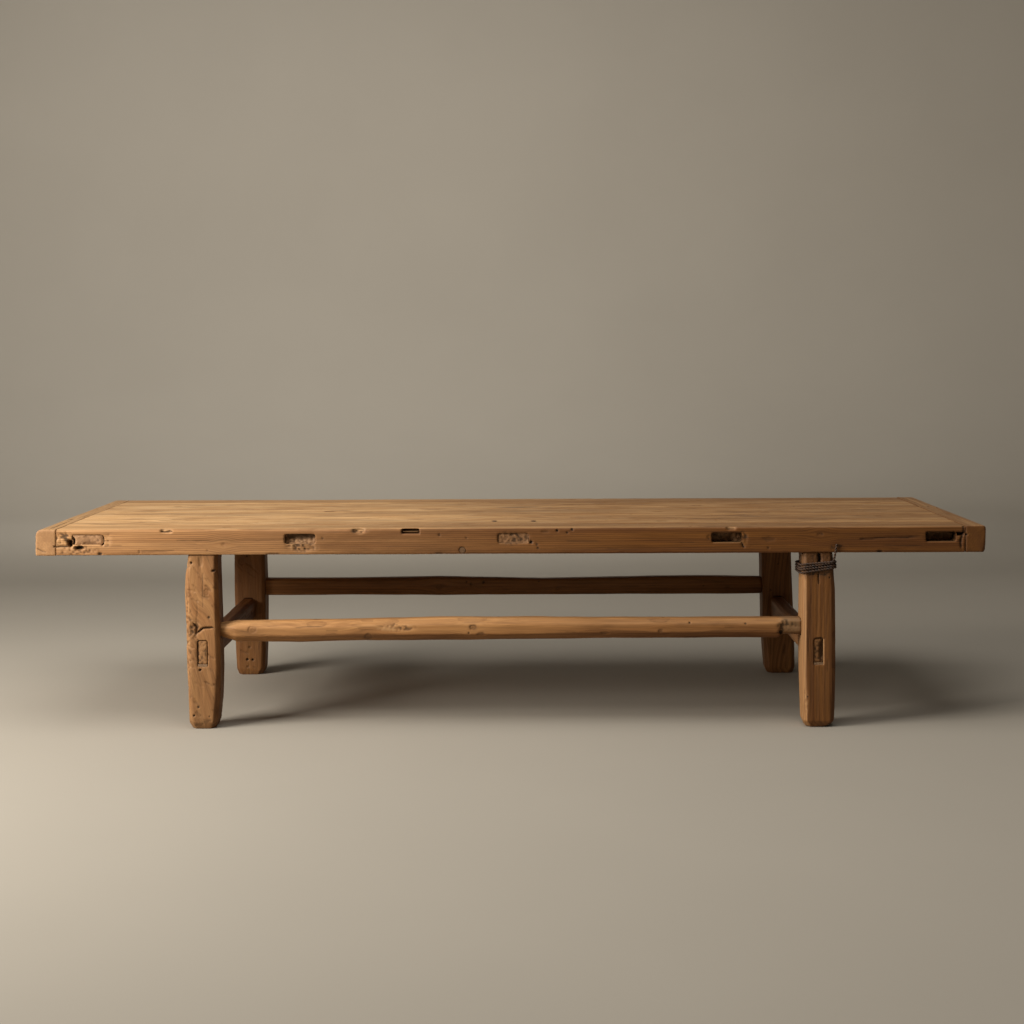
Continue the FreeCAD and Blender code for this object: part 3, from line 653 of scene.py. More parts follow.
railCommon = {
    "slot": "rail_elm", "material": "rail", "grain": 0, "bleach": 1.0, "topAge": topAge, "hewDepth": 0.0020,
    "reliefDepth": 0.0010, "shape": shadeSlots, "hidden": hiddenOfRail,
}
woodPiece("front_rail", dict(
    railCommon, voxel=0.0021, seed=3, pith=(-0.31, 0.26), passes=1, hewSize=0.11, reliefSize=0.008, keep=0.66,
    age=frontPatinaShade, joints=["back"], dents={"top": 26, "front": 22}, dentSeed=100), [
    (wearArris, "front",
     ("top", [(-0.956, 0.003), (-0.82, 0.0015), (-0.74, 0.003), (-0.7, 0.002), (-0.48, 0.006),
         (-0.4, 0.006), (-0.3, 0.0045), (-0.23, 0.0025), (-0.06, 0.0012), (0.36, 0.0006), (0.956, 0.0012)]),
     ("under", [(-0.956, 0.002), (-0.6, 0.001), (0.1, 0.003), (0.956, 0.001)])),
    (breakChip, 0.5, ((-0.723, -0.32, 0.421), (0.013, 0.01, 0.01), (0, -1, 1), 0.005)),
    (cutCrack, "front", ([(-0.738, 0.4205), (-0.728, 0.4185), (-0.709, 0.4195)], 0.0014, 0.003, 0.9)),
    (breakChip, 0.5, ((-0.316, -0.32, 0.421), (0.014, 0.01, 0.01), (0, -1, 1), 0.006)),
    (roughPatch, "front", ((-0.316, 0.419), (0.022, 0.006), 0.002, 0.8, 0.6)),
    (breakChip, 0.5, ((0.466, -0.32, 0.424), (0.011, 0.01, 0.01), (0, -1, 1.2), 0.006)),
    (cutNotch, "front", ((-0.208, 0.4172), (0.0185, 0.0042), 0.009, 0.7)),
    (sinkPit, "front", ((-0.9265, 0.3945), (0.006, 0.008), 0.018),
     ((-0.8585, 0.4), (0.0042, 0.0105), 0.012), ((-0.907, 0.3855), (0.01, 0.005), 0.009)),
    (roughPatch, "front", ((-0.94, 0.405), (0.022, 0.019), 0.0034, 0.8, 0.4),
     ((-0.912, 0.38), (0.05, 0.011), 0.0026, 0.8, 0.5), ((-0.848, 0.402), (0.01, 0.015), 0.0026, 0.8, 0.5)),
    (cutCrack, "front", ([(-0.957, 0.3885), (-0.945, 0.389), (-0.926, 0.388)], 0.0015, 0.004)),
    (sinkPit, "front", ((-0.863, 0.373), (0.005, 0.004), 0.003, 0.85)),
    (cutCrack, "front", ([(-0.779, 0.382), (-0.7795, 0.372)], 0.0012, 0.002, 0.7)),
    (roughPatch, "front", ((-0.436, 0.386), (0.036, 0.012), 0.004, 0.75, 0.8)),
    (sinkPit, "front", ((-0.471, 0.403), (0.004, 0.006), 0.004, 0.8),
     ((-0.43, 0.3815), (0.003, 0.002), 0.002), ((0.046, 0.394), (0.004, 0.004), 0.004)),
    (roughPatch, "front", ((0.008, 0.4025), (0.042, 0.016), 0.0016, 0.6, 0.3),
     ((0.492, 0.398), (0.01, 0.018), 0.003, 0.8, 0.9), ((0.422, 0.403), (0.008, 0.006), 0.0026, 0.9, 0.5)),
    (cutCrack, "front", ([(0.488, 0.392), (0.494, 0.38)], 0.0015, 0.003)),
    (sinkPit, "front", ((0.944, 0.408), (0.01, 0.0045), 0.012)),
    (roughPatch, "front", ((0.946, 0.4), (0.01, 0.012), 0.002, 0.4, 0.7)),
    (cutCrack, "front", ([(0.736, 0.398), (0.8, 0.4005), (0.872, 0.402)], 0.0013, 0.003, 0.8),
     ([(0.9525, 0.4235), (0.953, 0.411), (0.9465, 0.393), (0.9475, 0.373)], 0.0015, 0.004),
     ([(-0.512, 0.3712), (-0.482, 0.3708)], 0.0014, 0.002, 0.8),
     ([(-0.155, 0.3712), (-0.139, 0.371)], 0.0013, 0.002, 0.7)),
    (sinkPit, "front", ((0.778, 0.3715), (0.006, 0.003), 0.003, 0.85),
     ((0.101, 0.418), (0.0033, 0.003), 0.003), ((0.132, 0.4205), (0.003, 0.003), 0.003)),
    (growKnot, "front", ((-0.602, 0.391), 0.006, 0.35), ((0.652, 0.408), 0.006, 0.5)),
    (roughPatch, "front", ((0.688, 0.379), (0.016, 0.01), 0.001, 0.7, 0.2)),
    (darkStreak, "front", ([(-0.66, 0.399), (-0.36, 0.4015), (-0.1, 0.4005)], 0.0022, 0.35),
     ([(0.06, 0.381), (0.22, 0.379), (0.45, 0.3805)], 0.0022, 0.35),
     ([(-0.4, 0.3765), (-0.2, 0.375), (0.02, 0.376)], 0.0025, 0.3)),
    (growKnot, "top", ((-0.6, -0.285), 0.01, 0.6), ((0.52, -0.272), 0.008, 0.7)),
    (cutCrack, "top", ([(-0.3, -0.283), (-0.12, -0.281), (0.05, -0.2825)], 0.0015, 0.003, 0.7),
     ([(0.6, -0.3), (0.75, -0.299), (0.93, -0.2985)], 0.0015, 0.003, 0.8)),
])
woodPiece("back_rail", dict(
    railCommon, voxel=0.0024, seed=5, pith=(0.33, 0.55), passes=2, hewSize=0.12, reliefSize=0.009, keep=0.62,
    age=[(-0.95, 0.35), (0.0, 0.5), (0.95, 0.4)], joints=["front"], dents={"top": 24, "back": 26},
    dentSeed=110), [
    (wearArris, "back",
     ("top", [(-0.956, 0.002), (-0.5, 0.004), (-0.2, 0.0015), (0.3, 0.003), (0.62, 0.005), (0.956, 0.002)]),
     ("under", [(-0.956, 0.001), (0.2, 0.003), (0.956, 0.0015)])),
    (breakChip, 0.5, ((0.21, 0.32, 0.421), (0.02, 0.012, 0.012), (0, 1, 1), 0.006),
     ((-0.64, 0.32, 0.371), (0.026, 0.012, 0.012), (0, 1, -1), 0.006)),
    (growKnot, "back", ((-0.34, 0.393), 0.01, 0.7), ((0.71, 0.386), 0.007, 0.6)),
    (growKnot, "top", ((0.15, 0.29), 0.009, 0.6)),
    (roughPatch, "back", ((-0.5, 0.385), (0.03, 0.012), 0.002, 0.5, 0.6),
     ((0.41, 0.388), (0.03, 0.01), 0.002, 0.5, 0.6)),
    (cutCrack, "back", ([(-0.82, 0.385), (-0.7, 0.387), (-0.55, 0.386)], 0.0015, 0.003, 0.8),
     ([(0.12, 0.409), (0.25, 0.4105), (0.38, 0.41)], 0.0014, 0.0025, 0.6)),
    (darkStreak, "back", ([(-0.3, 0.379), (0.0, 0.377), (0.3, 0.3785)], 0.0024, 0.35)),
    (cutCrack, "top", ([(-0.93, 0.301), (-0.7, 0.302), (-0.52, 0.3005)], 0.0016, 0.003, 0.7)),
])


# End boards

endBoardCommon = {
    "slot": "end_board_elm", "material": "endBoard", "voxel": 0.0018, "grain": 1, "passes": 2, "bleach": 1.0,
    "hewDepth": 0.0022, "hewSize": 0.09, "reliefDepth": 0.0010, "reliefSize": 0.008, "age": frontPatinaShade,
    "topAge": topAge,
}
woodPiece("left_end_board", dict(
    endBoardCommon, seed=7, pith=(-1.05, 0.31), joints=["right"], dents={"top": 14, "left": 22},
    dentSeed=120), [
    (wearArris, "front", ("top", [(-1.0, 0.003), (-0.975, 0.002), (-0.956, 0.003)]),
     ("left", [(0.369, 0.001), (0.4, 0.001), (0.425, 0.003)])),
    (wearArris, "left", ("under", [(-0.32, 0.001), (0.0, 0.003), (0.32, 0.002)])),
    (cutCrack, "front", ([(-0.955, 0.3885), (-0.962, 0.389)], 0.0015, 0.003),
     ([(-0.997, 0.386), (-0.985, 0.379), (-0.978, 0.376)], 0.0013, 0.002, 0.6)),
    (growKnot, "top", ((-0.977, -0.12), 0.007, 0.7)),
    (growKnot, "left", ((0.17, 0.394), 0.009, 0.7)),
    (cutCrack, "top", ([(-0.972, -0.3), (-0.9725, -0.22), (-0.971, -0.16)], 0.0014, 0.003, 0.8)),
    (cutCrack, "left", ([(-0.28, 0.4), (-0.15, 0.402), (-0.04, 0.4015)], 0.0015, 0.003, 0.8)),
])
woodPiece("right_end_board", dict(
    endBoardCommon, seed=9, pith=(1.08, 0.33), joints=["left"], dents={"top": 14, "right": 22},
    dentSeed=130), [
    (wearArris, "front", ("right", [(0.369, 0.009), (0.385, 0.004), (0.41, 0.001), (0.425, 0.002)])),
    (wearArris, "right", ("under", [(-0.32, 0.006), (-0.1, 0.003), (0.32, 0.003)]),
     ("top", [(-0.32, 0.001), (0.05, 0.004), (0.32, 0.002)])),
    (sinkPit, "front", ((0.9585, 0.4065), (0.003, 0.0025), 0.003, 0.8)),
    (darkStreak, "front", ([(0.957, 0.427), (0.957, 0.367)], 0.0022, 0.75)),
    (growKnot, "top", ((0.979, 0.08), 0.007, 0.7)),
    (growKnot, "right", ((-0.09, 0.398), 0.01, 0.7)),
    (cutCrack, "top", ([(0.973, 0.12), (0.9735, 0.22), (0.972, 0.31)], 0.0015, 0.003, 0.8)),
    (cutCrack, "right", ([(-0.31, 0.388), (-0.2, 0.389), (-0.12, 0.388)], 0.0015, 0.003, 0.8)),
])


# Boards of the panel

panelRim = 0.4185


def hiddenOfPanel(points):
    return points[:, 2] < panelRim


panelCommon = {
    "slot": "panel_elm", "material": "panel", "voxel": 0.0025, "grain": 0, "passes": 1, "bleach": 1.0,
    "hewDepth": 0.0014, "hewSize": 0.12, "reliefDepth": 0.0007, "reliefSize": 0.010, "hidden": hiddenOfPanel,
    "keep": 0.62, "age": topAge, "joints": ["front", "back"], "dents": {"top": 60},
}
woodPiece("panel_board_front", dict(panelCommon, seed=11, pith=(-0.10, 0.30), dentSeed=140), [
    (growKnot, "top", ((-0.74, -0.13), 0.011, 0.7), ((0.33, -0.2), 0.013, 0.65),
     ((0.82, -0.115), 0.009, 0.7)),
    (cutCrack, "top", ([(-0.955, -0.157), (-0.8, -0.159), (-0.62, -0.156)], 0.0017, 0.003, 0.8),
     ([(0.05, -0.137), (0.22, -0.139), (0.4, -0.1365), (0.52, -0.138)], 0.0017, 0.003, 0.65),
     ([(0.955, -0.188), (0.8, -0.186), (0.66, -0.1875)], 0.0017, 0.003, 0.8)),
    (darkStreak, "top", ([(-0.55, -0.21), (-0.3, -0.208), (-0.12, -0.211)], 0.003, 0.45),
     ([(0.3, -0.168), (0.52, -0.17), (0.7, -0.167)], 0.003, 0.4)),
    (stainPatch, "top", ((-0.35, -0.165), (0.16, 0.03), 0.35)),
    (sinkPit, "top", ((-0.0335, -0.192), (0.007, 0.017), 0.0004, 0.8),
     ((0.0515, -0.192), (0.007, 0.017), 0.0004, 0.8)),
])
woodPiece("panel_board_middle", dict(panelCommon, seed=13, pith=(0.015, 0.22), dentSeed=150), [
    (growKnot, "top", ((-0.42, 0.03), 0.014, 0.7), ((0.58, -0.035), 0.012, 0.75),
     ((0.14, 0.05), 0.008, 0.6)),
    (cutCrack, "top", ([(-0.955, 0.012), (-0.83, 0.01), (-0.71, 0.013)], 0.0017, 0.003, 0.8),
     ([(-0.2, -0.042), (-0.02, -0.04), (0.15, -0.043), (0.33, -0.041)], 0.0017, 0.003, 0.65),
     ([(0.955, 0.04), (0.86, 0.042), (0.74, 0.041)], 0.0017, 0.003, 0.8)),
    (darkStreak, "top", ([(-0.68, -0.012), (-0.5, -0.01), (-0.28, -0.013)], 0.003, 0.45),
     ([(0.22, 0.068), (0.45, 0.066), (0.72, 0.069)], 0.003, 0.45)),
    (stainPatch, "top", ((0.1, 0.02), (0.2, 0.04), 0.4), ((-0.66, -0.04), (0.12, 0.03), 0.3)),
])
woodPiece("panel_board_back", dict(panelCommon, seed=15, pith=(0.20, 0.27), dentSeed=160), [
    (growKnot, "top", ((-0.12, 0.19), 0.012, 0.7), ((0.44, 0.13), 0.013, 0.7), ((-0.8, 0.16), 0.01, 0.65)),
    (cutCrack, "top", ([(-0.6, 0.213), (-0.42, 0.211), (-0.25, 0.2135)], 0.0017, 0.003, 0.7),
     ([(0.955, 0.15), (0.79, 0.152), (0.63, 0.1505)], 0.0017, 0.003, 0.8)),
    (darkStreak, "top", ([(-0.55, 0.145), (-0.4, 0.147), (-0.22, 0.144)], 0.003, 0.5),
     ([(0.05, 0.225), (0.25, 0.227), (0.42, 0.2255)], 0.003, 0.5)),
    (stainPatch, "top", ((0.02, 0.11), (0.07, 0.02), 0.9), ((0.7, 0.19), (0.15, 0.03), 0.35)),
])


# Cross battens, their front ends broken and rough

def roughEnds(work):
    points = work["points"]
    middle = (work["low"] + work["high"]) / 2
    atFront = withinEdge(points[:, 1] - work["low"][1], 0.008, 0.03)
    for axis in (0, 2):
        points[:, axis] += np.sign(points[:, axis] - middle[axis]) * atFront * batten["swell"]
    for face, sign in (("front", -1), ("back", 1)):
        hold = onFace(work, face, batten["endReach"])
        torn = smoothNoise(points * np.array([150, 20, 260]), 61) + 0.6 * smoothNoise(points * 420, 67)
        points[:, 1] -= sign * hold * torn * batten["tear"]
        # torn pits at the ends darkened with dirt and painted shade
        deepen(work, "cavity", hold * easeStep(torn, 0.95, 1.35) * 0.65)


def hiddenOfBatten(points):
    return (points[:, 2] > batten["under"]) & (np.abs(points[:, 1]) < batten["endFrom"])


battenCommon = {
    "slot": "batten_elm", "material": "batten", "voxel": 0.0021, "grain": 1, "passes": 2, "hewDepth": 0.001,
    "hewSize": 0.08, "reliefDepth": 0.0006, "reliefSize": 0.008, "shape": roughEnds, "bleach": 0.0,
    "hidden": hiddenOfBatten, "keep": 0.5, "age": battenPatinaShade,
}
battenMarks = [
    [(sinkPit, "front", ((-0.9215, 0.3985), (0.006, 0.01), 0.008, 0.9),
      ((-0.885, 0.394), (0.02, 0.004), 0.002, 0.4))],
    [(sinkPit, "front", ((-0.438, 0.4075), (0.045, 0.0085), 0.006, 0.72)),
     (roughPatch, "front", ((-0.438, 0.396), (0.04, 0.006), 0.002, 0.6, 0.6))],
    [(roughPatch, "front", ((0.008, 0.4025), (0.04, 0.014), 0.003, 0.8, 0.4))],
    [(roughPatch, "front", ((0.457, 0.4025), (0.05, 0.02), 0.003, 0.5, 0.4))],
    [(roughPatch, "front", ((0.906, 0.4025), (0.05, 0.02), 0.002, 0.5, 0.2))],
]
for number, place in enumerate(battenPlaces, start=1):
    settings = dict(battenCommon, seed=16 + number, pith=(place + 0.02, 0.37))
    woodPiece(f"cross_batten_{number}", settings, battenMarks[number - 1])
print("top made")


# Legs

leg = {"top": 0.369, "halfWidth": 0.033, "face": 0.316, "mortiseHeight": 0.160,
       "mortiseHalf": (0.0115, 0.031)}


def hewLeg(bulge, lean, sweep, left=((0, 0),), right=((0, 0),)):
    # a slight barrel along the height, uneven sides and grain that leans and sweeps across the leg
    def shape(work):
        points = work["points"]
        middle = (work["low"] + work["high"]) / 2
        height = np.clip(points[:, 2] / leg["top"], 0, 1)
        swell = bulge * (np.sin(height * math.pi) - 1) * easeStep(leg["top"] - points[:, 2], -0.002, 0.02)
        for axis in (0, 1):
            points[:, axis] += (points[:, axis] - middle[axis]) / leg["halfWidth"] * swell
        for side, stations in ((-1, left), (1, right)):
            push = np.interp(points[:, 2], *zip(*stations))
            points[:, 0] += side * push * np.clip(side * (points[:, 0] - middle[0]) / 0.03, 0, 1)
        # painted shade inside the mortise of the side stretcher
        halfWidth, halfHeight = leg["mortiseHalf"]
        beside = np.maximum(np.abs(points[:, 0] - middle[0]) / halfWidth,
                            np.abs(points[:, 2] - leg["mortiseHeight"]) / halfHeight)
        inward = easeStep(leg["face"] - np.abs(points[:, 1]), 0.0015, 0.004)
        deepen(work, "cavity", 0.75 * inward * (beside < 1))
        wave = np.sin(points[:, 2] * sweep + middle[0] * 7) * 0.004
        work["shift"][:, 0] += lean * (points[:, 2] - 0.2) + wave * (1 + points[:, 1] * 2)
        work["shift"][:, 1] += 0.4 * wave
    return shape


legCommon = {
    "slot": "leg_elm", "material": "hewnLeg", "voxel": 0.0016, "grain": 2, "passes": 3, "bleach": 0.0,
    "hewDepth": 0.0034, "hewSize": 0.055, "reliefDepth": 0.0012, "reliefSize": 0.007, "middle": 0.45,
}
# each leg's patina value also carries painted shade, most on the front right leg and the back legs
woodPiece("leg_front_left", dict(
    legCommon, seed=23, pith=(-0.70, -0.18), age=[(0, 0.36)], dentSeed=180,
    dents={"front": 7, "left": 16, "right": 12}, shape=hewLeg(
        0.0014, 0.28, 21,
        left=[(0.09, 0.0), (0.175, 0.0021), (0.24, 0.0034), (0.293, 0.0063), (0.326, 0.0058), (0.347, 0.003),
              (0.369, 0.0)],
        right=[(0.0, -0.002), (0.02, 0.0), (0.06, 0.003), (0.13, 0.0035), (0.2, 0.002), (0.3, 0.0008)])), [
    (paintSideShade, "right", (1.4,)),
    (growKnot, "front", ((-0.663, 0.213), 0.013, 0.4)),
    (cutCrack, "front",
     ([(-0.662, 0.202), (-0.656, 0.207), (-0.647, 0.2145), (-0.636, 0.216),
         (-0.622, 0.2145)], 0.0019, 0.006)),
    (roughPatch, "front", ((-0.665, 0.211), (0.01, 0.022), 0.003, 0.75, 0.2)),
    (cutCrack, "front", ([(-0.668, 0.228), (-0.66, 0.214), (-0.664, 0.197)], 0.002, 0.004, 0.6)),
    (roughPatch, "front", ((-0.65, 0.158), (0.014, 0.027), 0.0016, 0.6, 0.2)),
    (sinkPit, "front", ((-0.672, 0.352), (0.003, 0.003), 0.004, 0.9)),
    (roughPatch, "front", ((-0.672, 0.35), (0.008, 0.008), 0.0015, 0.4, 0.2)),
    (sinkPit, "front", ((-0.625, 0.335), (0.004, 0.003), 0.004, 0.9),
     ((-0.654, 0.126), (0.0025, 0.0025), 0.004), ((-0.668, 0.029), (0.0025, 0.0025), 0.004)),
    (cutCrack, "front", ([(-0.6395, 0.136), (-0.6392, 0.184)], 0.002, 0.005)),
    (growKnot, "front", ((-0.64, 0.29), 0.01, 0.2)),
    (roughPatch, "left", ((-0.284, 0.2), (0.05, 0.03), 0.0015, 0.5, 0.4)),
    (growKnot, "left", ((-0.28, 0.11), 0.012, 0.7)),
    (cutCrack, "left", ([(-0.276, 0.369), (-0.279, 0.3), (-0.277, 0.22)], 0.0018, 0.005)),
    (roughPatch, "front", ((-0.649, 0.012), (0.04, 0.012), 0.0012, 0.4, 0.1),
     ((-0.678, 0.21), (0.008, 0.12), 0.0016, 0.5, 0.4)),
    (hewCuts, "front", (34, 184)),
    (hewCuts, "left", (18, 185)),
    (shadeAndStainBand, 0.5, (-0.1, 0.008, 0.006)),
    (shadeAndStainBand, 0.3, (-0.3, 0.13, 0.09)),
])
woodPiece("leg_front_right", dict(
    legCommon, seed=25, pith=(0.60, -0.20), age=[(0, 0.9)], material="leg", dentSeed=190,
    dents={"front": 6, "left": 12, "right": 16}, shape=hewLeg(
        0.0006, -0.03, 9,
        right=[(0.0, 0.002), (0.04, 0.0035), (0.29, 0.0035), (0.318, 0.0015), (0.369, 0.0)])), [
    (paintSideShade, "left", (-0.92,)),
    (shadeAndStainBand, 0.8, (0.319, 0.5, 0.009)),
    (shadeAndStainBand, 0.5, (-0.1, 0.008, 0.006)),
    (breakChip, 0.1, ((0.617, -0.315, 0.369), (0.014, 0.014, 0.012), (-1, -0.7, 1), 0.005),
     ((0.681, -0.315, 0.369), (0.014, 0.014, 0.012), (1, -0.7, 1), 0.005)),
    (cutCrack, "front", ([(0.6505, 0.372), (0.651, 0.352), (0.6495, 0.336)], 0.003, 0.009),
     ([(0.651, 0.34), (0.6495, 0.318), (0.651, 0.3)], 0.0014, 0.003, 0.5)),
    (roughPatch, "front", ((0.649, 0.361), (0.035, 0.01), 0.0016, 0.4, 0.3),
     ((0.649, 0.325), (0.036, 0.006), 0.0012, 0.7, 0.1)),
    (darkStreak, "front", ([(0.633, 0.01), (0.635, 0.12), (0.6325, 0.25), (0.634, 0.34)], 0.0024, 0.6),
     ([(0.663, 0.03), (0.6645, 0.15), (0.662, 0.32)], 0.0024, 0.55),
     ([(0.646, 0.015), (0.647, 0.07), (0.6455, 0.135)], 0.0022, 0.5),
     ([(0.6465, 0.19), (0.6475, 0.25), (0.646, 0.33)], 0.0022, 0.5),
     ([(0.6735, 0.08), (0.6725, 0.2), (0.6745, 0.33)], 0.0022, 0.5),
     ([(0.656, 0.19), (0.6565, 0.26), (0.655, 0.33)], 0.0018, 0.4)),
    (cutCrack, "front", ([(0.6415, 0.137), (0.6412, 0.188)], 0.002, 0.005)),
    (sinkPit, "front", ((0.652, 0.188), (0.01, 0.003), 0.003, 0.8)),
    (roughPatch, "front", ((0.624, 0.055), (0.005, 0.03), 0.0012, 0.2, 0.9)),
    (breakChip, 0.1, ((0.685, -0.316, 0.0), (0.06, 0.12, 0.05), (0.37, -0.05, -0.93), 0.0115),
     ((0.616, -0.316, 0.0), (0.025, 0.03, 0.02), (-0.5, -0.4, -1), 0.005)),
    (growKnot, "right", ((-0.29, 0.16), 0.012, 0.7)),
    (cutCrack, "right", ([(-0.27, 0.32), (-0.272, 0.2), (-0.269, 0.1)], 0.0017, 0.004, 0.9)),
])
woodPiece("leg_back_left", dict(
    legCommon, seed=27, pith=(-0.60, 0.40), age=[(0, 0.82)], dentSeed=200,
    dents={"front": 10, "left": 14, "back": 14}, shape=hewLeg(
        0.0012, 0.08, 15,
        right=[(0.0, 0.004), (0.06, 0.006), (0.2, 0.006), (0.33, 0.005), (0.369, 0.003)])), [
    (hewCuts, "front", (16, 204)),
    (hewCuts, "back", (16, 205)),
    (shadeAndStainBand, 0.5, (-0.1, 0.006, 0.006)),
    (shadeAndStainBand, 0.25, (0.22, 0.6, 0.09)),
    (sinkPit, "front", ((-0.653, 0.038), (0.003, 0.003), 0.004), ((-0.64, 0.037), (0.003, 0.003), 0.004)),
    (growKnot, "front", ((-0.665, 0.28), 0.011, 0.6)),
    (growKnot, "back", ((-0.635, 0.13), 0.013, 0.7)),
    (cutCrack, "back", ([(-0.655, 0.369), (-0.652, 0.29), (-0.656, 0.21)], 0.0019, 0.005)),
])
woodPiece("leg_back_right", dict(
    legCommon, seed=29, pith=(0.71, 0.17), age=[(0, 0.82)], material="leg", dentSeed=210,
    dents={"front": 10, "right": 14, "back": 14}, shape=hewLeg(
        0.0010, -0.10, 12, left=[(0.2, 0.0), (0.3, 0.002), (0.369, 0.003)],
        right=[(0.0, 0.006), (0.06, 0.0065), (0.15, 0.005), (0.25, 0.002), (0.369, 0.0)])), [
    (hewCuts, "back", (16, 214)),
    (shadeAndStainBand, 0.5, (-0.1, 0.006, 0.006)),
    (growKnot, "front", ((0.64, 0.1), 0.011, 0.6)),
    (growKnot, "back", ((0.662, 0.3), 0.012, 0.7)),
    (cutCrack, "back", ([(0.64, 0.01), (0.643, 0.09), (0.641, 0.2)], 0.0019, 0.005)),
    (cutCrack, "right", ([(0.283, 0.02), (0.281, 0.12), (0.284, 0.24)], 0.0017, 0.004, 0.9)),
])
print("legs made")


# Stretchers

neck = {"from": 0.566, "to": 0.584, "grey": 0.75, "underAge": 0.56}


def greyNeckShadedUnder(work):
    # painted shade on the underside, and a squared neck at the right end that never had the polish of the
    # rest
    work["age"] += neck["underAge"] * facing(work, "under", -0.3, 0.4)
    deepen(work, "grey", easeStep(work["points"][:, 0], neck["from"], neck["to"]) * neck["grey"])


# the stretchers' patina values also carry painted shade, most on the side stretchers
stretcherCommon = {
    "slot": "stretcher_elm", "material": "stretcher", "voxel": 0.0018, "passes": 3, "hewDepth": 0.0032,
    "hewSize": 0.045, "reliefDepth": 0.0010, "reliefSize": 0.007, "bleach": 0.12, "middle": 0.5,
    "age": [(0, 0.76)], "reach": 0.03,
}
woodPiece("front_stretcher", dict(
    stretcherCommon, grain=0, seed=31, pith=(-0.27, 0.20), passes=7, shape=greyNeckShadedUnder, dentSeed=220,
    age=[(-0.6, 0.0), (-0.35, 0.03), (0.0, 0.18), (0.3, 0.33)], dents={"front": 10, "top": 12}), [
    (roughPatch, "front", ((-0.24, 0.212), (0.048, 0.008), 0.0018, 0.6, 0.9)),
    (growKnot, "front", ((-0.3, 0.194), 0.01, 0.95), ((-0.079, 0.213), 0.008, 0.9),
     ((-0.545, 0.209), 0.012, 0.3), ((0.318, 0.204), 0.006, 0.4)),
    (growKnot, "top", ((-0.41, -0.284), 0.009, 0.6)),
    (sinkPit, "front", ((0.572, 0.199), (0.005, 0.006), 0.006, 0.9)),
    (roughPatch, "front", ((0.585, 0.212), (0.024, 0.016), 0.002, 0.75, 0.2)),
    (darkStreak, "front", ([(-0.56, 0.193), (-0.4, 0.196), (-0.2, 0.1955)], 0.003, 0.5),
     ([(0.05, 0.198), (0.22, 0.1995), (0.5, 0.1985)], 0.003, 0.45)),
    (sinkPit, "front", ((0.38, 0.22), (0.002, 0.002), 0.002, 0.9)),
])
woodPiece("back_stretcher", dict(
    stretcherCommon, voxel=0.0021, grain=0, seed=33, pith=(0.31, 0.25), dents={"front": 12, "back": 14},
    dentSeed=230), [
    (growKnot, "front", ((-0.18, 0.213), 0.009, 0.6)),
    (growKnot, "back", ((0.3, 0.216), 0.01, 0.6)),
    (cutCrack, "back", ([(-0.45, 0.214), (-0.28, 0.216), (-0.12, 0.2145)], 0.0015, 0.003, 0.7)),
])
woodPiece("left_stretcher", dict(
    stretcherCommon, grain=1, seed=35, pith=(-0.68, 0.14), age=[(0, 1.0)], dents={"left": 12, "right": 12},
    dentSeed=240), [
    (paintSideShade, "front", (-0.7,)),
    (roughPatch, "front", ((-0.649, 0.162), (0.018, 0.035), 0.0022, 0.6, 0.2)),
    (growKnot, "left", ((0.06, 0.165), 0.009, 0.65)),
    (cutCrack, "left", ([(-0.21, 0.158), (-0.1, 0.16), (0.0, 0.159)], 0.0015, 0.003, 0.7)),
])
woodPiece("right_stretcher", dict(
    stretcherCommon, grain=1, seed=37, pith=(0.62, 0.18), dents={"left": 12, "right": 12}, dentSeed=250), [
    (paintSideShade, "front", (-0.2,)),
    (sinkPit, "front", ((0.6555, 0.164), (0.0055, 0.026), 0.004, 0.75)),
    (roughPatch, "front", ((0.652, 0.162), (0.018, 0.035), 0.0022, 0.7, 0.2)),
    (growKnot, "right", ((-0.1, 0.168), 0.009, 0.65)),
    (cutCrack, "right", ([(0.02, 0.156), (0.12, 0.158), (0.22, 0.157)], 0.0015, 0.003, 0.7)),
])
print("stretchers made")


# Rusty wire, two plies twisted together, lashed round the front right leg

def rustMaterial(settings):
    material, tree, surface = newMaterial("rusty iron")
    coords = addNode(tree, "ShaderNodeTexCoord").outputs["Object"]
    patches = stretchedNoise(tree, coords, (130.0, 130.0, 130.0), 4.0, 0.6)
    specks = stretchedNoise(tree, coords, (900.0, 900.0, 900.0), 2.0)
    colour = mixColour(tree, rangeNode(tree, patches, 0.35, 0.65), settings["dark"], settings["rust"])
    colour = mixColour(tree, rangeNode(tree, specks, 0.55, 0.7, 0.0, 0.6), colour, settings["bright"])
    surface.inputs["Metallic"].default_value = settings["metallic"]
    dressSurface(tree, surface, colour, rangeNode(tree, patches, 0.3, 0.7, 0.55, 0.85), specks, 0.4, 0.0004)
    return material


rust = rustMaterial({"dark": (0.03, 0.019, 0.014), "rust": (0.088, 0.043, 0.021),
                     "bright": (0.16, 0.086, 0.045), "metallic": 0.25})
wire = {
    "leg": (0.649, -0.284), "out": 0.03755, "deep": 0.03455, "startHeight": 0.329, "climb": 0.00135,
    "turns": 3, "tilt": 0.0042, "sway": 0.0008, "swayRate": 2.4, "bend": 0.012, "tailBend": 0.007,
    "pastRail": -0.03805, "rise": 0.038, "lean": 0.006, "plyRadius": 0.00158, "plyShift": 0.00108,
    "pitch": 0.0125, "step": 0.0012, "plySides": 10,
}


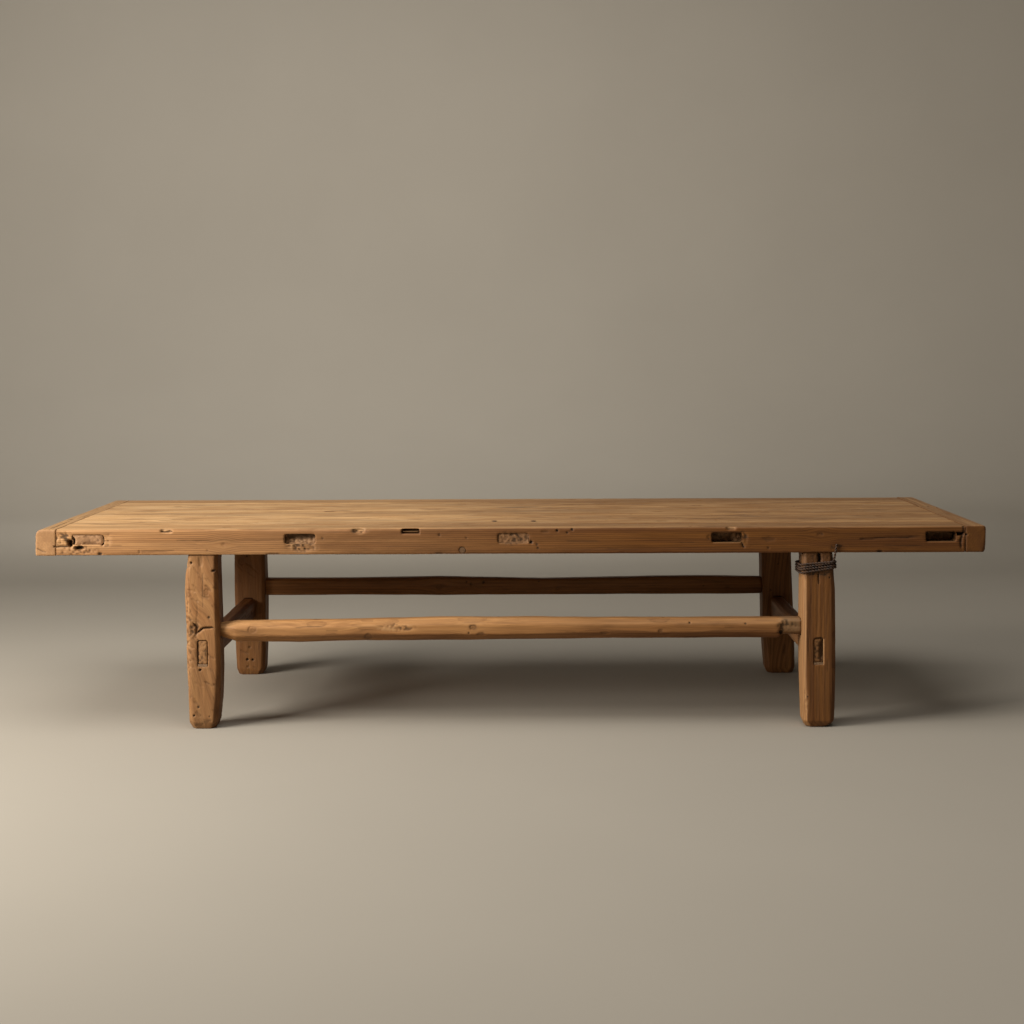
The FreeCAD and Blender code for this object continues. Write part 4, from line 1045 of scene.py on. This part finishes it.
def wireCorners():
    out, deep, climb = wire["out"], wire["deep"], wire["climb"]
    turn = [(out, deep), (-out, deep), (-out, -deep), (out, -deep)]
    points = [Vector((0, deep, wire["startHeight"]))]
    for step in range(1, 4 * wire["turns"] + 3):
        x, y = turn[step % 4]
        tilt = wire["tilt"] * x / out + wire["sway"] * math.sin(step * wire["swayRate"])
        points.append(Vector((x, y, wire["startHeight"] + climb * step + tilt)))
    height = points[-1].z + climb + wire["tilt"]
    bend = Vector((out - wire["bend"] / 2, -deep, height))
    points.append(bend)
    for share in (0.5, 1.0):
        tail = (bend.x + wire["lean"] * share, wire["pastRail"], height + wire["rise"] * share)
        points.append(Vector(tail))
    return points


def roundedPath(points, radii, arcSteps=10):
    path = [points[0]]
    for before, corner, after, radius in zip(points, points[1:], points[2:], radii):
        arrive = (corner - before).normalized()
        leave = (after - corner).normalized()
        turn = arrive.angle(leave)
        inward = (leave - arrive).normalized()
        centre = corner + inward * (radius / math.cos(turn / 2))
        start = corner - arrive * (radius * math.tan(turn / 2)) - centre
        spin = arrive.cross(leave).normalized()
        for step in range(arcSteps + 1):
            path.append(centre + Quaternion(spin, turn * step / arcSteps) @ start)
    path.append(points[-1])
    return path


def makeWireTree():
    tree, source = newTree("twisted wire", (("Ply Radius", "Float"), ("Ply Shift", "Float"),
                                            ("Twist Pitch", "Float"), ("Step", "Float")))
    inputs = {"Curve": source["Geometry"], "Length": source["Step"]}
    even = addNode(tree, "GeometryNodeResampleCurve", inputs, mode="LENGTH").outputs[0]
    travelled = addNode(tree, "GeometryNodeSplineParameter").outputs["Length"]
    turns = mathNode(tree, "DIVIDE", travelled, source["Twist Pitch"])
    angle = mathNode(tree, "MULTIPLY", turns, 2 * math.pi)
    twist = addNode(tree, "GeometryNodeSetCurveTilt", {"Curve": even, "Tilt": angle}).outputs[0]
    ring = addNode(tree, "GeometryNodeCurvePrimitiveCircle",
                   {"Resolution": wire["plySides"], "Radius": source["Ply Radius"]}).outputs[0]
    pair = addNode(tree, "GeometryNodeJoinGeometry")
    for side in (-1.0, 1.0):
        shift = mathNode(tree, "MULTIPLY", source["Ply Shift"], side)
        aside = addNode(tree, "ShaderNodeCombineXYZ", {"X": shift}).outputs[0]
        moved = addNode(tree, "GeometryNodeTransform", {"Geometry": ring, "Translation": aside})
        tree.links.new(moved.outputs[0], pair.inputs["Geometry"])
    inputs = {"Curve": twist, "Profile Curve": pair.outputs[0], "Fill Caps": True}
    closeTree(tree, addNode(tree, "GeometryNodeCurveToMesh", inputs).outputs[0], source["Material"])
    return tree


def makeWire():
    corners = wireCorners()
    path = roundedPath(corners, [wire["bend"]] * (len(corners) - 4) + [wire["tailBend"]] * 2)
    curve = bpy.data.curves.new("wire path", "CURVE")
    curve.dimensions = "3D"
    line = curve.splines.new("POLY")
    line.points.add(len(path) - 1)
    x, y = wire["leg"]
    for spot, point in zip(line.points, path):
        spot.co = (point.x + x, point.y + y, point.z, 1)
    guide = addPiece("wire guide", curve)
    addForm(guide, "twisted", makeWireTree(), {
        "Ply Radius": wire["plyRadius"], "Ply Shift": wire["plyShift"], "Twist Pitch": wire["pitch"],
        "Step": wire["step"], "Material": rust})
    mesh = shownMesh(guide)
    bpy.data.objects.remove(guide)
    piece = addPiece("wire_binding_twisted", mesh)
    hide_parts("wire_binding")
    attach(piece, "root")


makeWire()
print("wire made")


# Small pieces that keep the shape of the construction and get a finish

def finishSmall(name, material):
    piece = cadNodes[name]
    piece.data.materials.clear()
    piece.data.materials.append(material)


def plainWood(name, settings):
    material, tree, surface = newMaterial(name)
    coords = addNode(tree, "ShaderNodeTexCoord").outputs["Object"]
    lines = stretchedNoise(tree, coords, settings["grainScale"], 3.0, 0.6)
    specks = stretchedNoise(tree, coords, (700.0, 700.0, 700.0), 1.0)
    colour = mixColour(tree, rangeNode(tree, lines, 0.3, 0.7), settings["light"], settings["dark"])
    colour = mixColour(tree, rangeNode(tree, specks, 0.58, 0.72, 0.0, 0.5), colour, settings["pore"])
    dressSurface(tree, surface, colour, rangeNode(tree, lines, 0.2, 0.8, 0.52, 0.68), lines, 0.35, 0.0006)
    return material


pegWood = plainWood("pegs and wedges", {"grainScale": (260.0, 60.0, 260.0), "light": (0.27, 0.165, 0.086),
                                        "dark": (0.15, 0.08, 0.038), "pore": (0.08, 0.04, 0.019)})
plugWood = plainWood("rail plug", {"grainScale": (420.0, 420.0, 420.0), "light": (0.16, 0.082, 0.032),
                                   "dark": (0.08, 0.037, 0.014), "pore": (0.035, 0.017, 0.007)})
for small in ("side_tenon_wedges", "long_tenon_wedges", "end_board_pegs"):
    finishSmall(small, pegWood)
finishSmall("rail_plug", plugWood)
finishSmall("old_nails", rust)
print("small pieces finished")


# Floor that curves up far away all round, soft key from the left, camera at the photo's place

def makeFloor(settings):
    rings = [(radius, 0.0) for radius in settings["flatRings"]]
    flat, curve, sides = rings[-1][0], settings["curve"], settings["sides"]
    for step in range(1, settings["curveSteps"] + 1):
        angle = math.pi / 2 * step / settings["curveSteps"]
        rings.append((flat + curve * math.sin(angle), curve * (1 - math.cos(angle))))
    rings.append((rings[-1][0], settings["height"]))
    shape = bmesh.new()
    last = [shape.verts.new((0, 0, 0))]
    for radius, height in rings:
        angles = [2 * math.pi * step / sides for step in range(sides)]
        ring = [shape.verts.new((radius * math.cos(angle), radius * math.sin(angle), height))
                for angle in angles]
        for step in range(sides):
            after = (step + 1) % sides
            inner = last if len(last) == 1 else [last[after], last[step]]
            shape.faces.new((*inner, ring[step], ring[after]))
        last = ring
    mesh = bpy.data.meshes.new("studio floor")
    shape.to_mesh(mesh)
    shape.free()
    mesh.shade_smooth()
    material, tree, surface = newMaterial("studio paper")
    coords = addNode(tree, "ShaderNodeTexCoord").outputs["Object"]
    cloud = stretchedNoise(tree, coords, (1.1, 1.1, 1.1), 3.0)
    colour = mixColour(tree, cloud, settings["first"], settings["second"])
    tree.links.new(colour, surface.inputs["Base Color"])
    surface.inputs["Roughness"].default_value = settings["rough"]
    surface.inputs["Specular IOR Level"].default_value = settings["gloss"]
    mesh.materials.append(material)
    addPiece("studio_floor", mesh)


makeFloor({"flatRings": (1.5, 3.0, 4.6), "curve": 1.8, "curveSteps": 14, "height": 4.5, "sides": 96,
           "first": (0.335, 0.300, 0.248), "second": (0.37, 0.332, 0.275), "rough": 0.9, "gloss": 0.1})


def aimItem(item, place, ahead, roll=0.0):
    item.location = place
    item.rotation_mode = "QUATERNION"
    item.rotation_quaternion = ahead.to_track_quat("-Z", "Y") @ Quaternion((0, 0, 1), roll)


def addLight(name, place, aim, size, power, colour):
    lamp = bpy.data.lights.new(name, "AREA")
    lamp.shape = "RECTANGLE"
    lamp.size, lamp.size_y = size
    lamp.energy = power
    lamp.color = colour
    aimItem(addPiece(name, lamp), place, Vector(aim) - Vector(place))


addLight("window key", (-2.5, -1.45, 1.45), (-0.5, -0.2, 1.35), (1.2, 1.2), 130, (1.0, 0.96, 0.90))
addLight("overhead", (-0.2, -0.9, 3.2), (0.0, -0.1, 0.3), (3.0, 2.0), 60, (1.0, 0.98, 0.95))
addLight("backdrop glow", (-0.8, 2.8, 2.5), (-1.0, 6.0, 1.3), (2.4, 1.2), 90, (1.0, 0.98, 0.95))
room = {"Color": (1.0, 0.97, 0.92, 1.0), "Strength": 0.13}
scene.world = bpy.data.worlds.new("soft room")
scene.world.use_nodes = True
for key, value in room.items():
    scene.world.node_tree.nodes["Background"].inputs[key].default_value = value

photoView = {"place": (0.0414, -3.7435, 0.8111), "yaw": -0.565, "pitch": 0.594, "roll": -0.293,
             "lens": 57.327, "sensor": 36.0, "shift": -0.1477}
camera = addPiece("photo view", bpy.data.cameras.new("photo view"))
yaw, pitch, roll = (math.radians(photoView[key]) for key in ("yaw", "pitch", "roll"))
ahead = Vector((math.sin(yaw) * math.cos(pitch), math.cos(yaw) * math.cos(pitch), -math.sin(pitch)))
aimItem(camera, photoView["place"], ahead, roll)
camera.data.lens = photoView["lens"]
camera.data.sensor_width = photoView["sensor"]
camera.data.shift_y = photoView["shift"]
camera.data.dof.use_dof = False
scene.camera = camera
scene.view_settings.view_transform = "Standard"
print("studio made")
